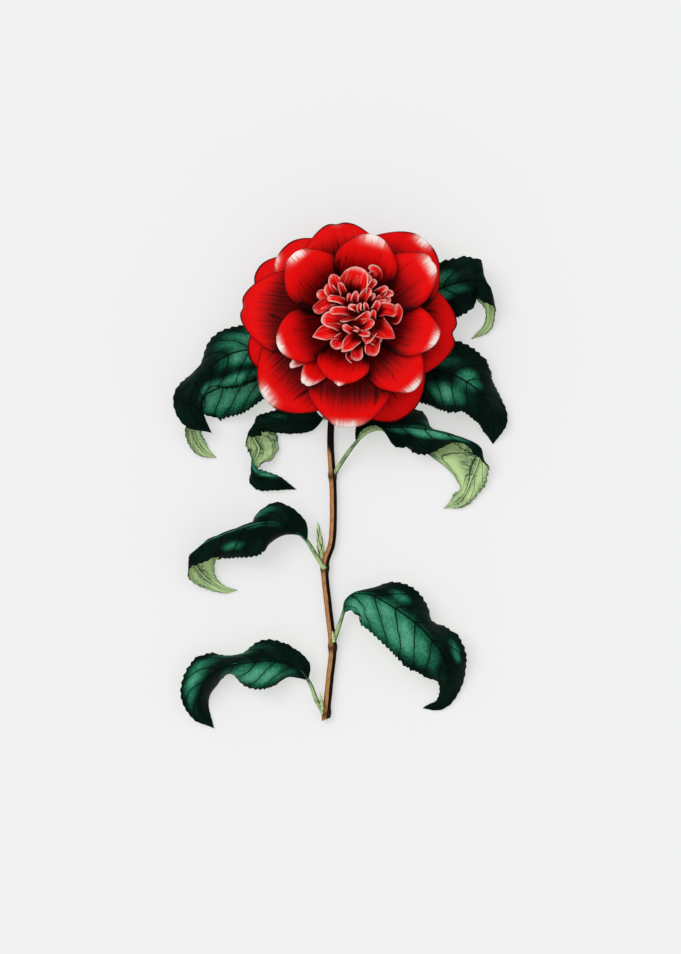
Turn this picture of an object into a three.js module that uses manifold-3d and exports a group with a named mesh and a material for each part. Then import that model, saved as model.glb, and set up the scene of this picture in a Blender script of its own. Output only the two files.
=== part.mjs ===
// Camellia flower: a double red bloom with a heart of petaloids, on a cut leafy twig laid on a table.
// Millimetres, +Z up. The twig lies along +Y with its cut end at -Y, and turns up at its elbow into
// the bloom, which faces up. The origin is on the small flat under the elbow.
// run: node part.mjs, or import the group that it exports.

import * as THREE from "three";
import { mergeVertices } from "three/addons/utils/BufferGeometryUtils.js";
import Module from "manifold-3d";

const wasm = await Module();
wasm.setup();

// Driving dimensions
const GAP = 0.3; // between pieces that touch
const FINEST_DETAIL = 0.02; // slivers thinner than this are closed up
const LEAF_THICKNESS = 0.7;
const PETAL_THICKNESS = 0.8;
const TWIG_RADIUS = 1.85;
const BLOOM_AXIS = new THREE.Vector2(0.6, 5.6);
const CORE_RADIUS = 6.7; // receptacle that carries the petals and the petaloids
const CORE_BOTTOM = 13;
const PETAL_ROOT_RADIUS = CORE_RADIUS + GAP;
const LEVEL_STEP = 1.2; // height from one level of petal roots to the next
const ROOT_HEIGHT = 14.2; // of the lowest petal's root

const rad = THREE.MathUtils.degToRad;
const smooth = THREE.MathUtils.smoothstep;

// ---- Solids ---------------------------------------------------------------------------------

// A sheet of quads moved by a formula: u runs -1..1 across it, v runs 0..1 along it.
function sheet(across, along, place) {
  const plane = new THREE.PlaneGeometry(2, 1, across, along);
  const spots = plane.attributes.position;
  for (let i = 0; i < spots.count; i += 1) {
    const spot = place(spots.getX(i), spots.getY(i) + 0.5);
    spots.setXYZ(i, spot.x, spot.y, spot.z);
  }
  plane.computeVertexNormals();
  return plane;
}

// A closed blade: the sheet's two faces, split alike, joined round the rim.
function thicken(plane, thickness) {
  const { widthSegments: across, heightSegments: along } = plane.parameters;
  const spots = plane.attributes.position;
  const normals = plane.attributes.normal;
  const vertices = [];
  for (const side of [thickness / 2, -thickness / 2]) {
    for (let i = 0; i < spots.count; i += 1) {
      vertices.push(spots.getX(i) + side * normals.getX(i));
      vertices.push(spots.getY(i) + side * normals.getY(i));
      vertices.push(spots.getZ(i) + side * normals.getZ(i));
    }
  }
  const faces = [];
  for (let i = 0; i < plane.index.count; i += 3) {
    const [a, b, c] = plane.index.array.slice(i, i + 3);
    faces.push(a, b, c, a + spots.count, c + spots.count, b + spots.count);
  }
  const row = across + 1;
  const rim = [];
  for (let i = 0; i < across; i += 1) rim.push(i);
  for (let j = 0; j < along; j += 1) rim.push(j * row + across);
  for (let i = across; i > 0; i -= 1) rim.push(along * row + i);
  for (let j = along; j > 0; j -= 1) rim.push(j * row);
  rim.forEach((from, k) => {
    const to = rim[(k + 1) % rim.length];
    faces.push(from, to, to + spots.count, from, to + spots.count, from + spots.count);
  });
  const geometry = new THREE.BufferGeometry();
  geometry.setAttribute("position", new THREE.Float32BufferAttribute(vertices, 3));
  geometry.setIndex(faces);
  return geometry;
}

// A round rod along a curve, with a radius for each share s of its length and angle round it.
function rod(curve, radius, sides, steps) {
  const geometry = new THREE.CylinderGeometry(1, 1, 1, sides, steps);
  const frames = curve.computeFrenetFrames(steps, false);
  const spots = geometry.attributes.position;
  for (let i = 0; i < spots.count; i += 1) {
    const step = Math.round((spots.getY(i) + 0.5) * steps);
    const s = step / steps;
    const spot = curve.getPointAt(s);
    const reach = radius(s, Math.atan2(spots.getZ(i), spots.getX(i)));
    spot.addScaledVector(frames.normals[step], spots.getX(i) * reach);
    spot.addScaledVector(frames.binormals[step], -spots.getZ(i) * reach);
    spots.setXYZ(i, spot.x, spot.y, spot.z);
  }
  return geometry;
}

// A profile of radius and height, turned about the bloom's axis.
function turned(profile, sides) {
  const geometry = new THREE.LatheGeometry(profile.map(([r, z]) => new THREE.Vector2(r, z)), sides);
  geometry.rotateX(Math.PI / 2);
  geometry.translate(BLOOM_AXIS.x, BLOOM_AXIS.y, 0);
  return geometry;
}

function solidOf(geometry) {
  const bare = geometry.clone();
  bare.deleteAttribute("normal");
  bare.deleteAttribute("uv");
  const merged = mergeVertices(bare, 1e-4);
  const vertProperties = new Float32Array(merged.attributes.position.array);
  const triVerts = new Uint32Array(merged.index.array);
  return new wasm.Manifold(new wasm.Mesh({ numProp: 3, vertProperties, triVerts }));
}

// The largest body of a solid, without scraps or sealed hollows.
function whole(solid) {
  return solid.decompose().sort((a, b) => b.volume() - a.volume())[0];
}

function geometryOf(solid) {
  const { vertProperties, triVerts } = whole(solid.simplify(FINEST_DETAIL)).getMesh();
  const geometry = new THREE.BufferGeometry();
  geometry.setAttribute("position", new THREE.BufferAttribute(vertProperties, 3));
  geometry.setIndex(new THREE.BufferAttribute(triVerts, 1));
  geometry.computeVertexNormals();
  return geometry;
}

function smoothCurve(points) {
  return new THREE.CatmullRomCurve3(points, false, "catmullrom", 0.5);
}

// ---- Twig -----------------------------------------------------------------------------------

// Middle of the twig from its cut end to the calyx: x, y, height
const TWIG_COURSE = [
  [-11.5, -178.5, 2.35],
  [-10.9, -171.1, 2.5],
  [-9.5, -157.6, 2.7],
  [-8.3, -144, 2.9],
  [-10.2, -126.2, 2.8],
  [-11.9, -107.2, 3],
  [-8.8, -96.3, 2.8],
  [-8, -86, 2.7],
  [-8.1, -69.8, 2.6],
  [-9.2, -52.1, 2.6],
  [-9, -40, 2.5],
  [-7.7, -29.3, 2.2],
  [-4.6, -13, 1.9],
  [-1.2, -4, 1.5],
  [0.1, 1.8, 1.55],
  [0.6, 4.9, 3.9],
  [0.6, 5.6, 6.6],
  [0.6, 5.6, 9.3],
];
const TWIG_NODES = [-107.2, -144, -64.5, -174.5]; // where leaves grow, along Y
const NODE_SWELLING = 0.45;
const FLAT_DEPTH = 6; // of the block under the table top that trims the elbow flat

const twigCurve = smoothCurve(TWIG_COURSE.map((spot) => new THREE.Vector3(...spot)));

function twigRadius(s, extra = 0) {
  const y = twigCurve.getPointAt(s).y;
  const swelling = TWIG_NODES.reduce((sum, node) => sum + Math.exp(-(((y - node) / 2.2) ** 2)), 0);
  return TWIG_RADIUS * (1.06 - 0.1 * s) + NODE_SWELLING * swelling + extra;
}

function twigRod(extra) {
  return solidOf(rod(twigCurve, (s) => twigRadius(s, extra), 8, 40));
}

// The table's top trims the elbow, and a slanting plane the cut end.
function makeTwig() {
  const table = new THREE.BoxGeometry(400, 600, FLAT_DEPTH);
  table.translate(0, 0, -FLAT_DEPTH / 2);
  const shears = new THREE.BoxGeometry(20, 8, 20);
  shears.rotateZ(rad(22));
  shears.translate(-13.2, -181.6, 2);
  return twigRod(0).subtract(solidOf(table)).subtract(solidOf(shears));
}

// ---- Leaves ---------------------------------------------------------------------------------

const PETIOLE_RADIUS = 1.05;
const MIDRIB_END_RADIUS = 0.35;
const TOOTH = 0.45; // how far the margin's teeth stand out and in
const TABLE_BLEND = 0.5; // how softly a blade meets the table

// Each leaf: half widths, the share of its length that is petiole, and its course from the twig to
// the tip: x, y, height, how far the upper face leans and towards which way, and how far the left
// and the right half of the blade bend up from the midrib (degrees). A station may end in the shares
// of their full width to which the left and the right half spread there.
const LEAVES = {
  leaf_1: {
    halves: [11.5, 15],
    widest: 0.44,
    petiole: 0.12,
    course: [
      [-4.5, -11, 2.6, 0, 0, 10, 10],
      [2, -7.5, 4.2, 0, 0, 10, 10],
      [12, 0.5, 6.6, 4, 300, 10, 10, 1, 0.8],
      [26, 11, 9, 4, 300, 5, 8, 1, 0.8],
      [40, 20.8, 11.5, 4, 300, -5, 4],
      [49, 24.2, 15, 5, 290, -10, -5],
      [58, 25, 17.5, 15, 320, -30, -50, 1, 0.95],
      [63.8, 22.6, 15, 68, 15, -50, -75, 0.7, 0.5],
      [65.6, 17.8, 9.6, 122, 25, -55, -50, 0.45, 0.35],
      [65, 11.6, 5, 155, 30, -40, -20, 0.5, 0.45],
      [63.2, 4.4, 2, 165, 40, -20, -10, 0.7, 0.7],
      [56.3, -0.9, 0, 170, 60, 0, 0],
    ],
  },
  leaf_2: {
    halves: [16, 17],
    widest: 0.47,
    petiole: 0.17,
    course: [
      [-6.6, -23, 2.5, 0, 0, 10, 10],
      [0, -21.6, 3.2, 0, 0, 10, 10],
      [10, -19, 4, 0, 0, 8, 8, 0.8, 1],
      [25, -16, 6, 0, 0, 0, 5, 0.9, 1],
      [40, -16, 10, 0, 0, -10, 0],
      [51, -20, 14, 5, 300, -25, 0],
      [60, -27, 15, 5, 330, -50, -18],
      [65.2, -36, 10.5, 5, 340, -42, 0, 0.9, 1],
      [66.2, -43.5, 5, 5, 300, -10, 5],
      [66.2, -49.8, 0, 5, 270, 0, 0],
    ],
  },
  leaf_3: {
    halves: [16.5, 14],
    widest: 0.47,
    petiole: 0.17,
    course: [
      [-8.1, -64.5, 2.6, 0, 0, 20, 60],
      [-4, -58, 5, 0, 0, 20, 60],
      [1, -51, 7.5, 0, 0, 20, 110],
      [6.5, -45.5, 8.5, 10, 270, -30, 125],
      [14, -42.8, 9, 12, 270, -50, 110, 1, 0.7],
      [24, -42.2, 10, 5, 265, -55, -20, 1, 0.72],
      [31, -42.8, 11.8, 0, 265, -58, -10, 0.9, 0.9],
      [38, -43.8, 13.2, 0, 265, -112, -20, 0.8, 0.9],
      [47.5, -46.4, 14.5, 5, 300, -115, -62, 1, 0.7],
      [55.4, -48.8, 13.5, 45, 10, -105, -85, 0.7, 0.45],
      [60.4, -52, 9, 108, 22, -60, -60, 0.8, 0.4],
      [60, -56.8, 4.6, 158, 27, 0, -20, 1.3, 0.4],
      [57.4, -61.8, 2.8, 174, 27, 0, -10, 1.1, 0.6],
      [55.6, -67, 2.2, 176, 300, 5, 0, 0.6, 0.8],
      [53.4, -72.4, 1.6, 178, 300, 5, 0, 0.4, 0.8],
      [49.7, -76.8, 1, 178, 300, 0, 0],
      [43.5, -79.6, 0, 178, 300, 0, 0],
    ],
  },
  leaf_4: {
    halves: [16, 13.5],
    widest: 0.46,
    petiole: 0.13,
    course: [
      [-5.6, -17, 2.6, 0, 0, 8, 8],
      [-12, -14.5, 4.5, 0, 0, 8, 8],
      [-22, -10, 7, 0, 0, 8, 8],
      [-35, -6.6, 10, 0, 0, 0, -10],
      [-46, -6.4, 14, 0, 270, -10, -25],
      [-56, -9, 18.5, 0, 270, -10, -35],
      [-64.6, -15, 21, 0, 225, -45, -66, 1, 0.9],
      [-70.6, -21.7, 20.5, 0, 225, -62, -66, 1, 0.9],
      [-73.6, -30, 17.5, 0, 230, -58, -38],
      [-72, -38, 12.5, 0, 250, -35, -15],
      [-64.4, -44.6, 6.5, 0, 250, 0, 0],
    ],
  },
  leaf_5: {
    halves: [15, 13],
    widest: 0.46,
    petiole: 0.16,
    course: [
      [-7.6, -27.5, 2.5, 0, 0, 8, 8],
      [-14, -25, 3, 0, 0, 8, 8],
      [-26, -19.5, 4, 0, 0, 8, 8, 0.7, 1],
      [-40, -18.6, 5, 0, 0, 5, 5, 0.8, 1],
      [-53, -21, 6, 0, 270, 0, 0],
      [-63, -24.8, 6.4, 0, 225, -10, -20, 0.95, 1],
      [-69.8, -28.6, 6, 25, 190, -35, -60, 0.95, 0.5],
      [-73.8, -33.4, 4, 112, 150, -80, -70, 0.4, 0.45],
      [-73.6, -39.5, 2.4, 155, 150, -45, -50, 0.45, 0.6],
      [-72.2, -46.5, 1.8, 174, 150, -20, -30, 0.6, 0.65],
      [-68.5, -52.6, 1.2, 178, 190, -20, 0],
      [-62.4, -56.2, 0, 178, 190, 0, 0],
    ],
  },
  leaf_6: {
    halves: [9.5, 10.5],
    widest: 0.5,
    petiole: 0.16,
    course: [
      [-9.2, -37, 2.5, 0, 0, 8, 8],
      [-16, -38.8, 4.5, 30, 270, 8, 8],
      [-26, -40, 7.5, 45, 270, 5, -25],
      [-36, -40.4, 10.5, 40, 270, -15, -75, 0.8, 0.5],
      [-43.6, -41.4, 11.5, 55, 220, -60, -80, 0.7, 0.35],
      [-46.6, -43.6, 8, 115, 142, -75, -50, 0.4, 0.7],
      [-44.8, -47.6, 4.4, 158, 142, -50, -5, 0.5, 0.9],
      [-42.6, -52, 3, 172, 160, -30, 0, 0.5, 1.05],
      [-44.2, -56.6, 3.2, 150, 200, -40, -50, 0.6, 0.5],
      [-46.2, -60.8, 4.4, 88, 205, -50, -60, 0.4, 0.4],
      [-44, -65.4, 4.2, 25, 250, -40, -30, 0.6, 0.8],
      [-34.6, -67.6, 2.6, 5, 270, -30, 0, 0.8, 0.8],
      [-25.1, -70.9, 0, 0, 0, 0, 0],
    ],
  },
  leaf_7: {
    halves: [16, 13.5],
    widest: 0.46,
    petiole: 0.15,
    course: [
      [-12, -107.4, 4.2, 0, 0, 20, 20],
      [-15.6, -102, 6, 0, 240, 0, 20],
      [-20.6, -94, 10, 0, 240, -95, 20, 0.7, 1],
      [-26.2, -89.8, 13.5, 0, 240, -66, 0, 0.95, 1],
      [-33, -87, 16.5, 0, 260, -30, -12],
      [-38.5, -86.3, 18.8, 0, 260, -18, -55, 1, 0.9],
      [-44.4, -87, 20.5, 5, 265, -14, -105],
      [-56, -90.8, 21, 5, 250, -35, -115],
      [-66, -95, 18.6, 10, 200, -45, -110, 0.9, 1],
      [-71.4, -98.6, 14.5, 65, 170, -70, -95, 0.55, 0.9],
      [-74.6, -102, 9, 118, 160, -50, -60, 0.4, 1],
      [-71.8, -107, 4.2, 160, 160, -20, -10, 0.5, 1.2],
      [-67.6, -111.6, 2.6, 174, 200, -10, 0, 0.55, 0.7],
      [-63.2, -115, 1.6, 178, 270, -5, 0, 0.5, 0.5],
      [-58.3, -117.4, 1, 178, 270, 0, 0, 0.6, 0.6],
      [-52.8, -117.7, 0, 178, 270, 0, 0],
    ],
  },
  leaf_8: {
    halves: [14, 17.5],
    widest: 0.5,
    petiole: 0.15,
    course: [
      [-8.6, -143.5, 2.8, 0, 0, 10, 10],
      [-6, -136, 4.5, 0, 225, 10, 10],
      [-3.4, -127.5, 7.5, 20, 180, -60, 0],
      [-2.6, -122.3, 11, 40, 180, -100, 0, 1, 1.15],
      [1.5, -118.8, 14.5, 15, 180, -105, 0, 1, 1.15],
      [8, -118.9, 16.5, 5, 230, -80, 0, 1, 1.1],
      [14, -121.5, 17.5, 0, 230, -36, 0],
      [21, -125.7, 18.5, 0, 230, -20, -10],
      [29.6, -131.8, 19, 0, 230, -48, -5],
      [35, -137, 18.5, 0, 230, -66, 0],
      [42, -146, 16.5, 0, 230, -30, -5, 0.9, 0.95],
      [45, -153.8, 13, 0, 240, -30, 0, 0.9, 0.8],
      [45.4, -161, 8.5, 0, 290, -42, 0, 0.9, 0.55],
      [41.2, -170, 2.5, 0, 270, -20, 0, 0.9, 0.7],
      [33.6, -172.6, 0, 0, 0, 0, 0],
    ],
  },
  leaf_9: {
    halves: [14.5, 11.5],
    widest: 0.48,
    petiole: 0.19,
    course: [
      [-12, -175.2, 2.6, 0, 0, 8, 8],
      [-15.8, -168.6, 4, 0, 0, 8, 8],
      [-18.8, -160.6, 6.5, 0, 0, 0, 8],
      [-24, -153.6, 9.5, 0, 250, -40, 5],
      [-35, -149.8, 13, 0, 270, 0, -5],
      [-47, -150.2, 15.5, 0, 270, -10, -67],
      [-57.5, -152, 16, 0, 270, -75, -68],
      [-65.5, -157, 14, 0, 225, -55, -24],
      [-69.8, -165.4, 9.5, 0, 190, -55, -10],
      [-69, -174.6, 4, 0, 180, -50, 0],
      [-63.5, -181.9, 0, 0, 180, 0, 0],
    ],
  },
};

// Smooth course of a leaf: where its midrib runs, which way the blade faces and how it bends.
function leafCourse({ course }) {
  const middle = smoothCurve(course.map(([x, y, z]) => new THREE.Vector3(x, y, z)));
  const facing = smoothCurve(course.map(([, , , lean, towards]) =>
    new THREE.Vector3(
      Math.sin(rad(lean)) * Math.cos(rad(towards)),
      Math.sin(rad(lean)) * Math.sin(rad(towards)),
      Math.cos(rad(lean)),
    )));
  const bending = smoothCurve(course.map((station) => new THREE.Vector3(station[5], station[6], 0)));
  const spreading = smoothCurve(course.map((station) =>
    new THREE.Vector3(station[7] ?? 1, station[8] ?? 1, 0)));
  return function at(s) {
    const t = middle.getUtoTmapping(s);
    const along = middle.getTangent(t);
    const right = along.clone().cross(facing.getPoint(t)).normalize();
    const bend = bending.getPoint(t);
    const spread = spreading.getPoint(t);
    return {
      spot: middle.getPoint(t),
      right,
      up: right.clone().cross(along).normalize(),
      bends: [bend.x, bend.y],
      spreads: [spread.x, spread.y],
    };
  };
}

// Share of the full half width at share v of the blade: ovate, with a drawn-out tip.
function bladeOutline(v, widest) {
  const oval = Math.sin(Math.PI * (0.02 + 0.975 * v) ** (Math.log(0.5) / Math.log(widest))) ** 0.6;
  return oval * smooth(v, -0.04, 0.06) * (1 - 0.35 * smooth(v, 0.75, 1));
}

// How far a half blade that bends evenly by bend degrees reaches out and up at share t of its width.
function bentHalf(bend, t) {
  const start = 0.6 * rad(bend);
  const turn = 0.8 * rad(bend);
  if (Math.abs(turn) < 1e-3) return [t, 0];
  const out = (Math.sin(start + turn * t) - Math.sin(start)) / turn;
  const up = (Math.cos(start) - Math.cos(start + turn * t)) / turn;
  return [out, up];
}

function restOnTable(spot, clearance) {
  const drop = spot.z - clearance;
  spot.z = (spot.z + clearance + Math.sqrt(drop * drop + TABLE_BLEND * TABLE_BLEND)) / 2;
  return spot;
}

function bladeSheet(leaf, across = 4, along = 18) {
  const at = leafCourse(leaf);
  return sheet(across, along, (u, v) => {
    const { spot, right, up, bends, spreads } = at(leaf.petiole + (1 - leaf.petiole) * v);
    const side = u < 0 ? 0 : 1;
    const t = Math.abs(u);
    const tooth = t > 0.99 ? TOOTH * (Math.round(v * along) % 2 ? 1 : -1) * Math.sin(Math.PI * v) : 0;
    const width = spreads[side] * leaf.halves[side] * bladeOutline(v, leaf.widest) + tooth;
    const [out, rise] = bentHalf(bends[side], t);
    spot.addScaledVector(right, Math.sign(u) * width * out);
    spot.addScaledVector(up, width * rise);
    return restOnTable(spot, LEAF_THICKNESS / 2 + 0.05);
  });
}

function makeLeaf(leaf, twig) {
  const at = leafCourse(leaf);
  const blade = solidOf(thicken(bladeSheet(leaf), LEAF_THICKNESS));
  const ribSteps = 12;
  const ribSpots = [];
  for (let i = 0; i <= ribSteps; i += 1) {
    const s = (i / ribSteps) * 0.94;
    const { spot, up } = at(s);
    const sink = 0.45 * smooth(s, 0, leaf.petiole);
    restOnTable(spot.addScaledVector(up, -sink), PETIOLE_RADIUS);
    ribSpots.push(spot);
  }
  const radius = (s) => THREE.MathUtils.lerp(PETIOLE_RADIUS, MIDRIB_END_RADIUS, smooth(s, 0.1, 1));
  const rib = solidOf(rod(smoothCurve(ribSpots), radius, 4, ribSteps));
  return blade.add(rib).subtract(twig);
}

// ---- Buds -----------------------------------------------------------------------------------

// Each bud: base and tip, radius, and how many rings of scales it shows.
const BUDS = {
  bud_upper: { base: [-13, -105, 1.7], tip: [-15.3, -86, 2.2], radius: 1.35, rings: 6 },
  bud_axil: { base: [-7.7, -141.6, 6], tip: [-8.4, -136.4, 6.4], radius: 1, rings: 3 },
  bud_lower: { base: [-13, -173, 5.1], tip: [-14, -164.8, 6.8], radius: 0.9, rings: 3 },
};
const SCALE_RELIEF = 0.22; // how far each ring of scales stands off the next

function makeBud({ base, tip, radius, rings }, twig) {
  const course = new THREE.LineCurve3(new THREE.Vector3(...base), new THREE.Vector3(...tip));
  const relief = (s, angle) => {
    const ring = s * rings + 0.25 * Math.cos(2 * angle);
    return 1 + SCALE_RELIEF * (ring - Math.floor(ring) - 0.5);
  };
  const outline = (s) => 0.12 + 0.88 * Math.sin(Math.PI * (0.08 + 0.9 * s) ** 0.62) ** 0.8;
  const spindle = rod(course, (s, angle) => radius * outline(s) * relief(s, angle), 8, rings * 2);
  return solidOf(spindle).subtract(twig);
}

// ---- Calyx ----------------------------------------------------------------------------------

const SEPALS = 7;
const SEPAL_THICKNESS = 0.9;
const SEPAL_WIDTH = 9.5;
const CALYX_BOTTOM = TWIG_COURSE.at(-1)[2] + GAP;
const CALYX_TOP = CORE_BOTTOM - GAP;

function sepalSheet(index) {
  const turn = (index / SEPALS) * 2 * Math.PI;
  const row = index % 2;
  const reach = 11.2 - 1.2 * row;
  return sheet(2, 3, (u, v) => {
    const aside = ((u * SEPAL_WIDTH) / 2) * (0.45 + 0.55 * Math.sin((Math.PI / 2) * Math.min(1, v / 0.6)));
    const out = 2.2 + (reach - 2.2) * (v - 0.3 * u * u * v * v);
    const x = BLOOM_AXIS.x + out * Math.cos(turn) + aside * Math.sin(turn);
    const y = BLOOM_AXIS.y + out * Math.sin(turn) - aside * Math.cos(turn);
    const z = CALYX_BOTTOM + 0.6 + 0.4 * row + 0.19 * Math.hypot(out, aside);
    return new THREE.Vector3(x, y, z);
  });
}

function makeCalyx() {
  const profile = [
    [0, CALYX_BOTTOM],
    [2.3, CALYX_BOTTOM],
    [4.2, CALYX_BOTTOM + 1.4],
    [4.6, CALYX_TOP],
    [0, CALYX_TOP],
  ];
  let calyx = solidOf(turned(profile, 14));
  for (let i = 0; i < SEPALS; i += 1) {
    calyx = calyx.add(solidOf(thicken(sepalSheet(i), SEPAL_THICKNESS)));
  }
  return calyx;
}

// ---- Petals ---------------------------------------------------------------------------------

// Each petal: azimuth, reach from the bloom's axis, width, level of its root, and its tip:
// depth of a notch (or of a point, if negative).
const PETALS = {
  petal_middle_a: { azimuth: 76, reach: 39.4, width: 29, level: 8, notch: 0 },
  petal_middle_e: { azimuth: -101.6, reach: 29.4, width: 24.2, level: 8, notch: -1 },
  petal_middle_b: { azimuth: 36.5, reach: 45.6, width: 26, level: 7, notch: 0.6 },
  petal_middle_g: { azimuth: 133, reach: 40, width: 27.4, level: 7, notch: 0 },
  petal_middle_c: { azimuth: -9.5, reach: 40.2, width: 23.6, level: 6, notch: 0 },
  petal_middle_f: { azimuth: -161, reach: 35.6, width: 26.3, level: 6, notch: 0 },
  petal_middle_d: { azimuth: -45, reach: 42, width: 26.7, level: 5, notch: 0 },
  petal_middle_h: { azimuth: -127, reach: 36.2, width: 13, level: 5, notch: 0.4 },
  petal_middle_i: { azimuth: -149, reach: 31.5, width: 8, level: 4, notch: 0 },
  petal_outer_1: { azimuth: 99, reach: 45.6, width: 37, level: 4, notch: 0.8 },
  petal_outer_2: { azimuth: 46.5, reach: 50.3, width: 40, level: 3, notch: 0 },
  petal_outer_3: { azimuth: -6, reach: 48.6, width: 42, level: 1, notch: 2 },
  petal_outer_4: { azimuth: -61, reach: 49.4, width: 39, level: 0, notch: 0 },
  petal_outer_5: { azimuth: -92.5, reach: 48.2, width: 37.7, level: 4, notch: 0 },
  petal_outer_6: { azimuth: -137, reach: 53, width: 41, level: 2, notch: 0 },
  petal_outer_7: { azimuth: -163, reach: 49.6, width: 32, level: 1, notch: 0 },
  petal_outer_8: { azimuth: 172, reach: 51.6, width: 37, level: 3, notch: 1.4 },
  petal_outer_9: { azimuth: 150, reach: 50, width: 30, level: 0, notch: 0 },
  petal_outer_10: { azimuth: 131, reach: 46.4, width: 34, level: 2, notch: 0 },
};

// Height of a level's petals at a radius from the axis: a bowl that rises, then bends over.
function levelHeight(level, radius) {
  const span = 42;
  const s = (radius - PETAL_ROOT_RADIUS) / span;
  const slope = 0.45 + 0.081 * level;
  const droop = 0.475 + 0.032 * level;
  return ROOT_HEIGHT + LEVEL_STEP * level + span * (slope * s - droop * s * s);
}

// Share of the full half width at share v of a petal: a narrow claw that opens into a round limb.
function petalOutline(v) {
  const open = Math.sin((Math.PI / 2) * Math.min(1, v / 0.62)) ** 1.1;
  return (0.25 + 0.75 * open) * (1 - 0.05 * smooth(v, 0.8, 1));
}

function petalSheet({ azimuth, reach, width, level, notch }, across = 7, along = 6) {
  const turn = rad(azimuth);
  const length = reach - PETAL_ROOT_RADIUS;
  return sheet(across, along, (u, v) => {
    const aside = ((u * width) / 2) * petalOutline(v);
    const claw = Math.sqrt(Math.max(0, PETAL_ROOT_RADIUS ** 2 - aside ** 2));
    const root = THREE.MathUtils.lerp(claw, PETAL_ROOT_RADIUS, smooth(v, 0, 0.3));
    const round = 0.32 * Math.abs(u) ** 2.3 * v * v;
    const dent = notch * Math.exp(-((u / 0.14) ** 2)) * v ** 6;
    const out = root + length * (v - round) - dent;
    const x = BLOOM_AXIS.x + out * Math.cos(turn) + aside * Math.sin(turn);
    const y = BLOOM_AXIS.y + out * Math.sin(turn) - aside * Math.cos(turn);
    const cup = (0.9 * u * u - 0.3) * Math.sin(Math.PI * Math.min(1, v * 1.1));
    return new THREE.Vector3(x, y, levelHeight(level, Math.hypot(out, aside)) + cup);
  });
}

// ---- Heart ----------------------------------------------------------------------------------

// Petaloids: azimuth, reach, width, height of the root and of the tip, and how far they roll.
const PETALOIDS = [
  [74, 24, 12, 29, 43, -10],
  [111, 23.5, 7, 28, 42, 20],
  [128, 21, 6, 28, 41, -20],
  [142, 21.2, 6, 27, 40, 20],
  [108, 18.9, 4.5, 31, 45, 30],
  [136, 15.9, 5, 31, 42, -30],
  [158, 19.1, 6, 28, 40, 40],
  [161, 15.5, 5, 30, 41, -20],
  [153, 12, 5, 32, 43, 20],
  [176, 14.3, 7, 30, 41, -10],
  [201, 19.5, 8, 29, 40, 10],
  [229, 13.9, 7, 30, 41, -20],
  [250, 15, 7, 29, 40, 10],
  [277, 19.5, 7, 28, 40, 0],
  [-61, 17.8, 7, 28, 40, -10],
  [-54.6, 12.4, 6, 30, 42, 10],
  [-21, 20.5, 9, 29, 41, 10],
  [10.6, 20.9, 8, 29, 41, -10],
  [15, 23.5, 5, 28, 42, 30],
  [29, 20.4, 6, 29, 41, -30],
  [40, 23.9, 6, 28, 42, 10],
  [62, 17.5, 6, 31, 43, -20],
  [52, 16.1, 5, 31, 44, 30],
  [83, 14.2, 5, 32, 45, -10],
  [38.5, 15.5, 5, 31, 44, 10],
  [20, 9, 6, 32, 47, 60],
  [100, 8, 5, 32, 47, 70],
  [170, 7, 5, 32, 46, -60],
  [230, 7, 6, 32, 46, 50],
  [300, 8, 6, 32, 46, -50],
  [341, 9.3, 6, 32, 45.6, 40],
  [60, 4, 5, 32, 48, 80],
  [200, 3, 5, 32, 48, -70],
];

function petaloidSheet([azimuth, reach, width, rootHeight, tipHeight, roll], across = 2, along = 3) {
  const turn = rad(azimuth);
  const root = Math.min(4.5, reach * 0.5);
  return sheet(across, along, (u, v) => {
    const lean = rad(roll) * v;
    const half = (width / 2) * (0.5 + 0.5 * Math.sin(Math.PI * Math.min(1, v * 0.8)));
    const aside = u * half * Math.cos(lean);
    const lift = u * half * Math.sin(lean) + 0.12 * width * (u * u - 0.5) * Math.sin(Math.PI * v);
    const out = root + (reach - root) * (v ** 1.25) - 0.1 * reach * u * u * v;
    const rise = (tipHeight - rootHeight) * Math.sin((Math.PI / 2) * Math.min(1, v * 1.15));
    const x = BLOOM_AXIS.x + out * Math.cos(turn) + aside * Math.sin(turn);
    const y = BLOOM_AXIS.y + out * Math.sin(turn) - aside * Math.cos(turn);
    return new THREE.Vector3(x, y, rootHeight + rise + lift);
  });
}

function makeHeart() {
  const profile = [
    [0, CORE_BOTTOM],
    [5.2, CORE_BOTTOM],
    [CORE_RADIUS, CORE_BOTTOM + 1.2],
    [CORE_RADIUS, 30],
    [5.6, 33],
    [3, 35],
    [0, 35.6],
  ];
  return PETALOIDS.reduce(
    (heart, petaloid) => heart.add(solidOf(thicken(petaloidSheet(petaloid), PETAL_THICKNESS))),
    solidOf(turned(profile, 16)),
  );
}

// ---- Assembly -------------------------------------------------------------------------------

const LEAF_GREEN = 0x1c6b45;
const PETAL_RED = 0xd81210;
const HEART_RED = 0xe0302a;
const BARK_BROWN = 0xa8713f;
const BUD_GREEN = 0xb9cf8a;

const group = new THREE.Group();

function addPiece(name, solid, color, roughness) {
  const material = new THREE.MeshStandardMaterial({ color, roughness, metalness: 0 });
  const mesh = new THREE.Mesh(geometryOf(solid), material);
  mesh.name = name;
  group.add(mesh);
}

addPiece("stem", makeTwig(), BARK_BROWN, 0.75);
const twigClearance = twigRod(GAP);
for (const [name, leaf] of Object.entries(LEAVES)) {
  addPiece(name, makeLeaf(leaf, twigClearance), LEAF_GREEN, 0.35);
}
for (const [name, bud] of Object.entries(BUDS)) {
  addPiece(name, makeBud(bud, twigClearance), BUD_GREEN, 0.5);
}
addPiece("calyx", makeCalyx(), BUD_GREEN, 0.6);
for (const [name, petal] of Object.entries(PETALS)) {
  addPiece(name, solidOf(thicken(petalSheet(petal), PETAL_THICKNESS)), PETAL_RED, 0.5);
}
addPiece("heart", makeHeart(), HEART_RED, 0.5);

export default group;
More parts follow.
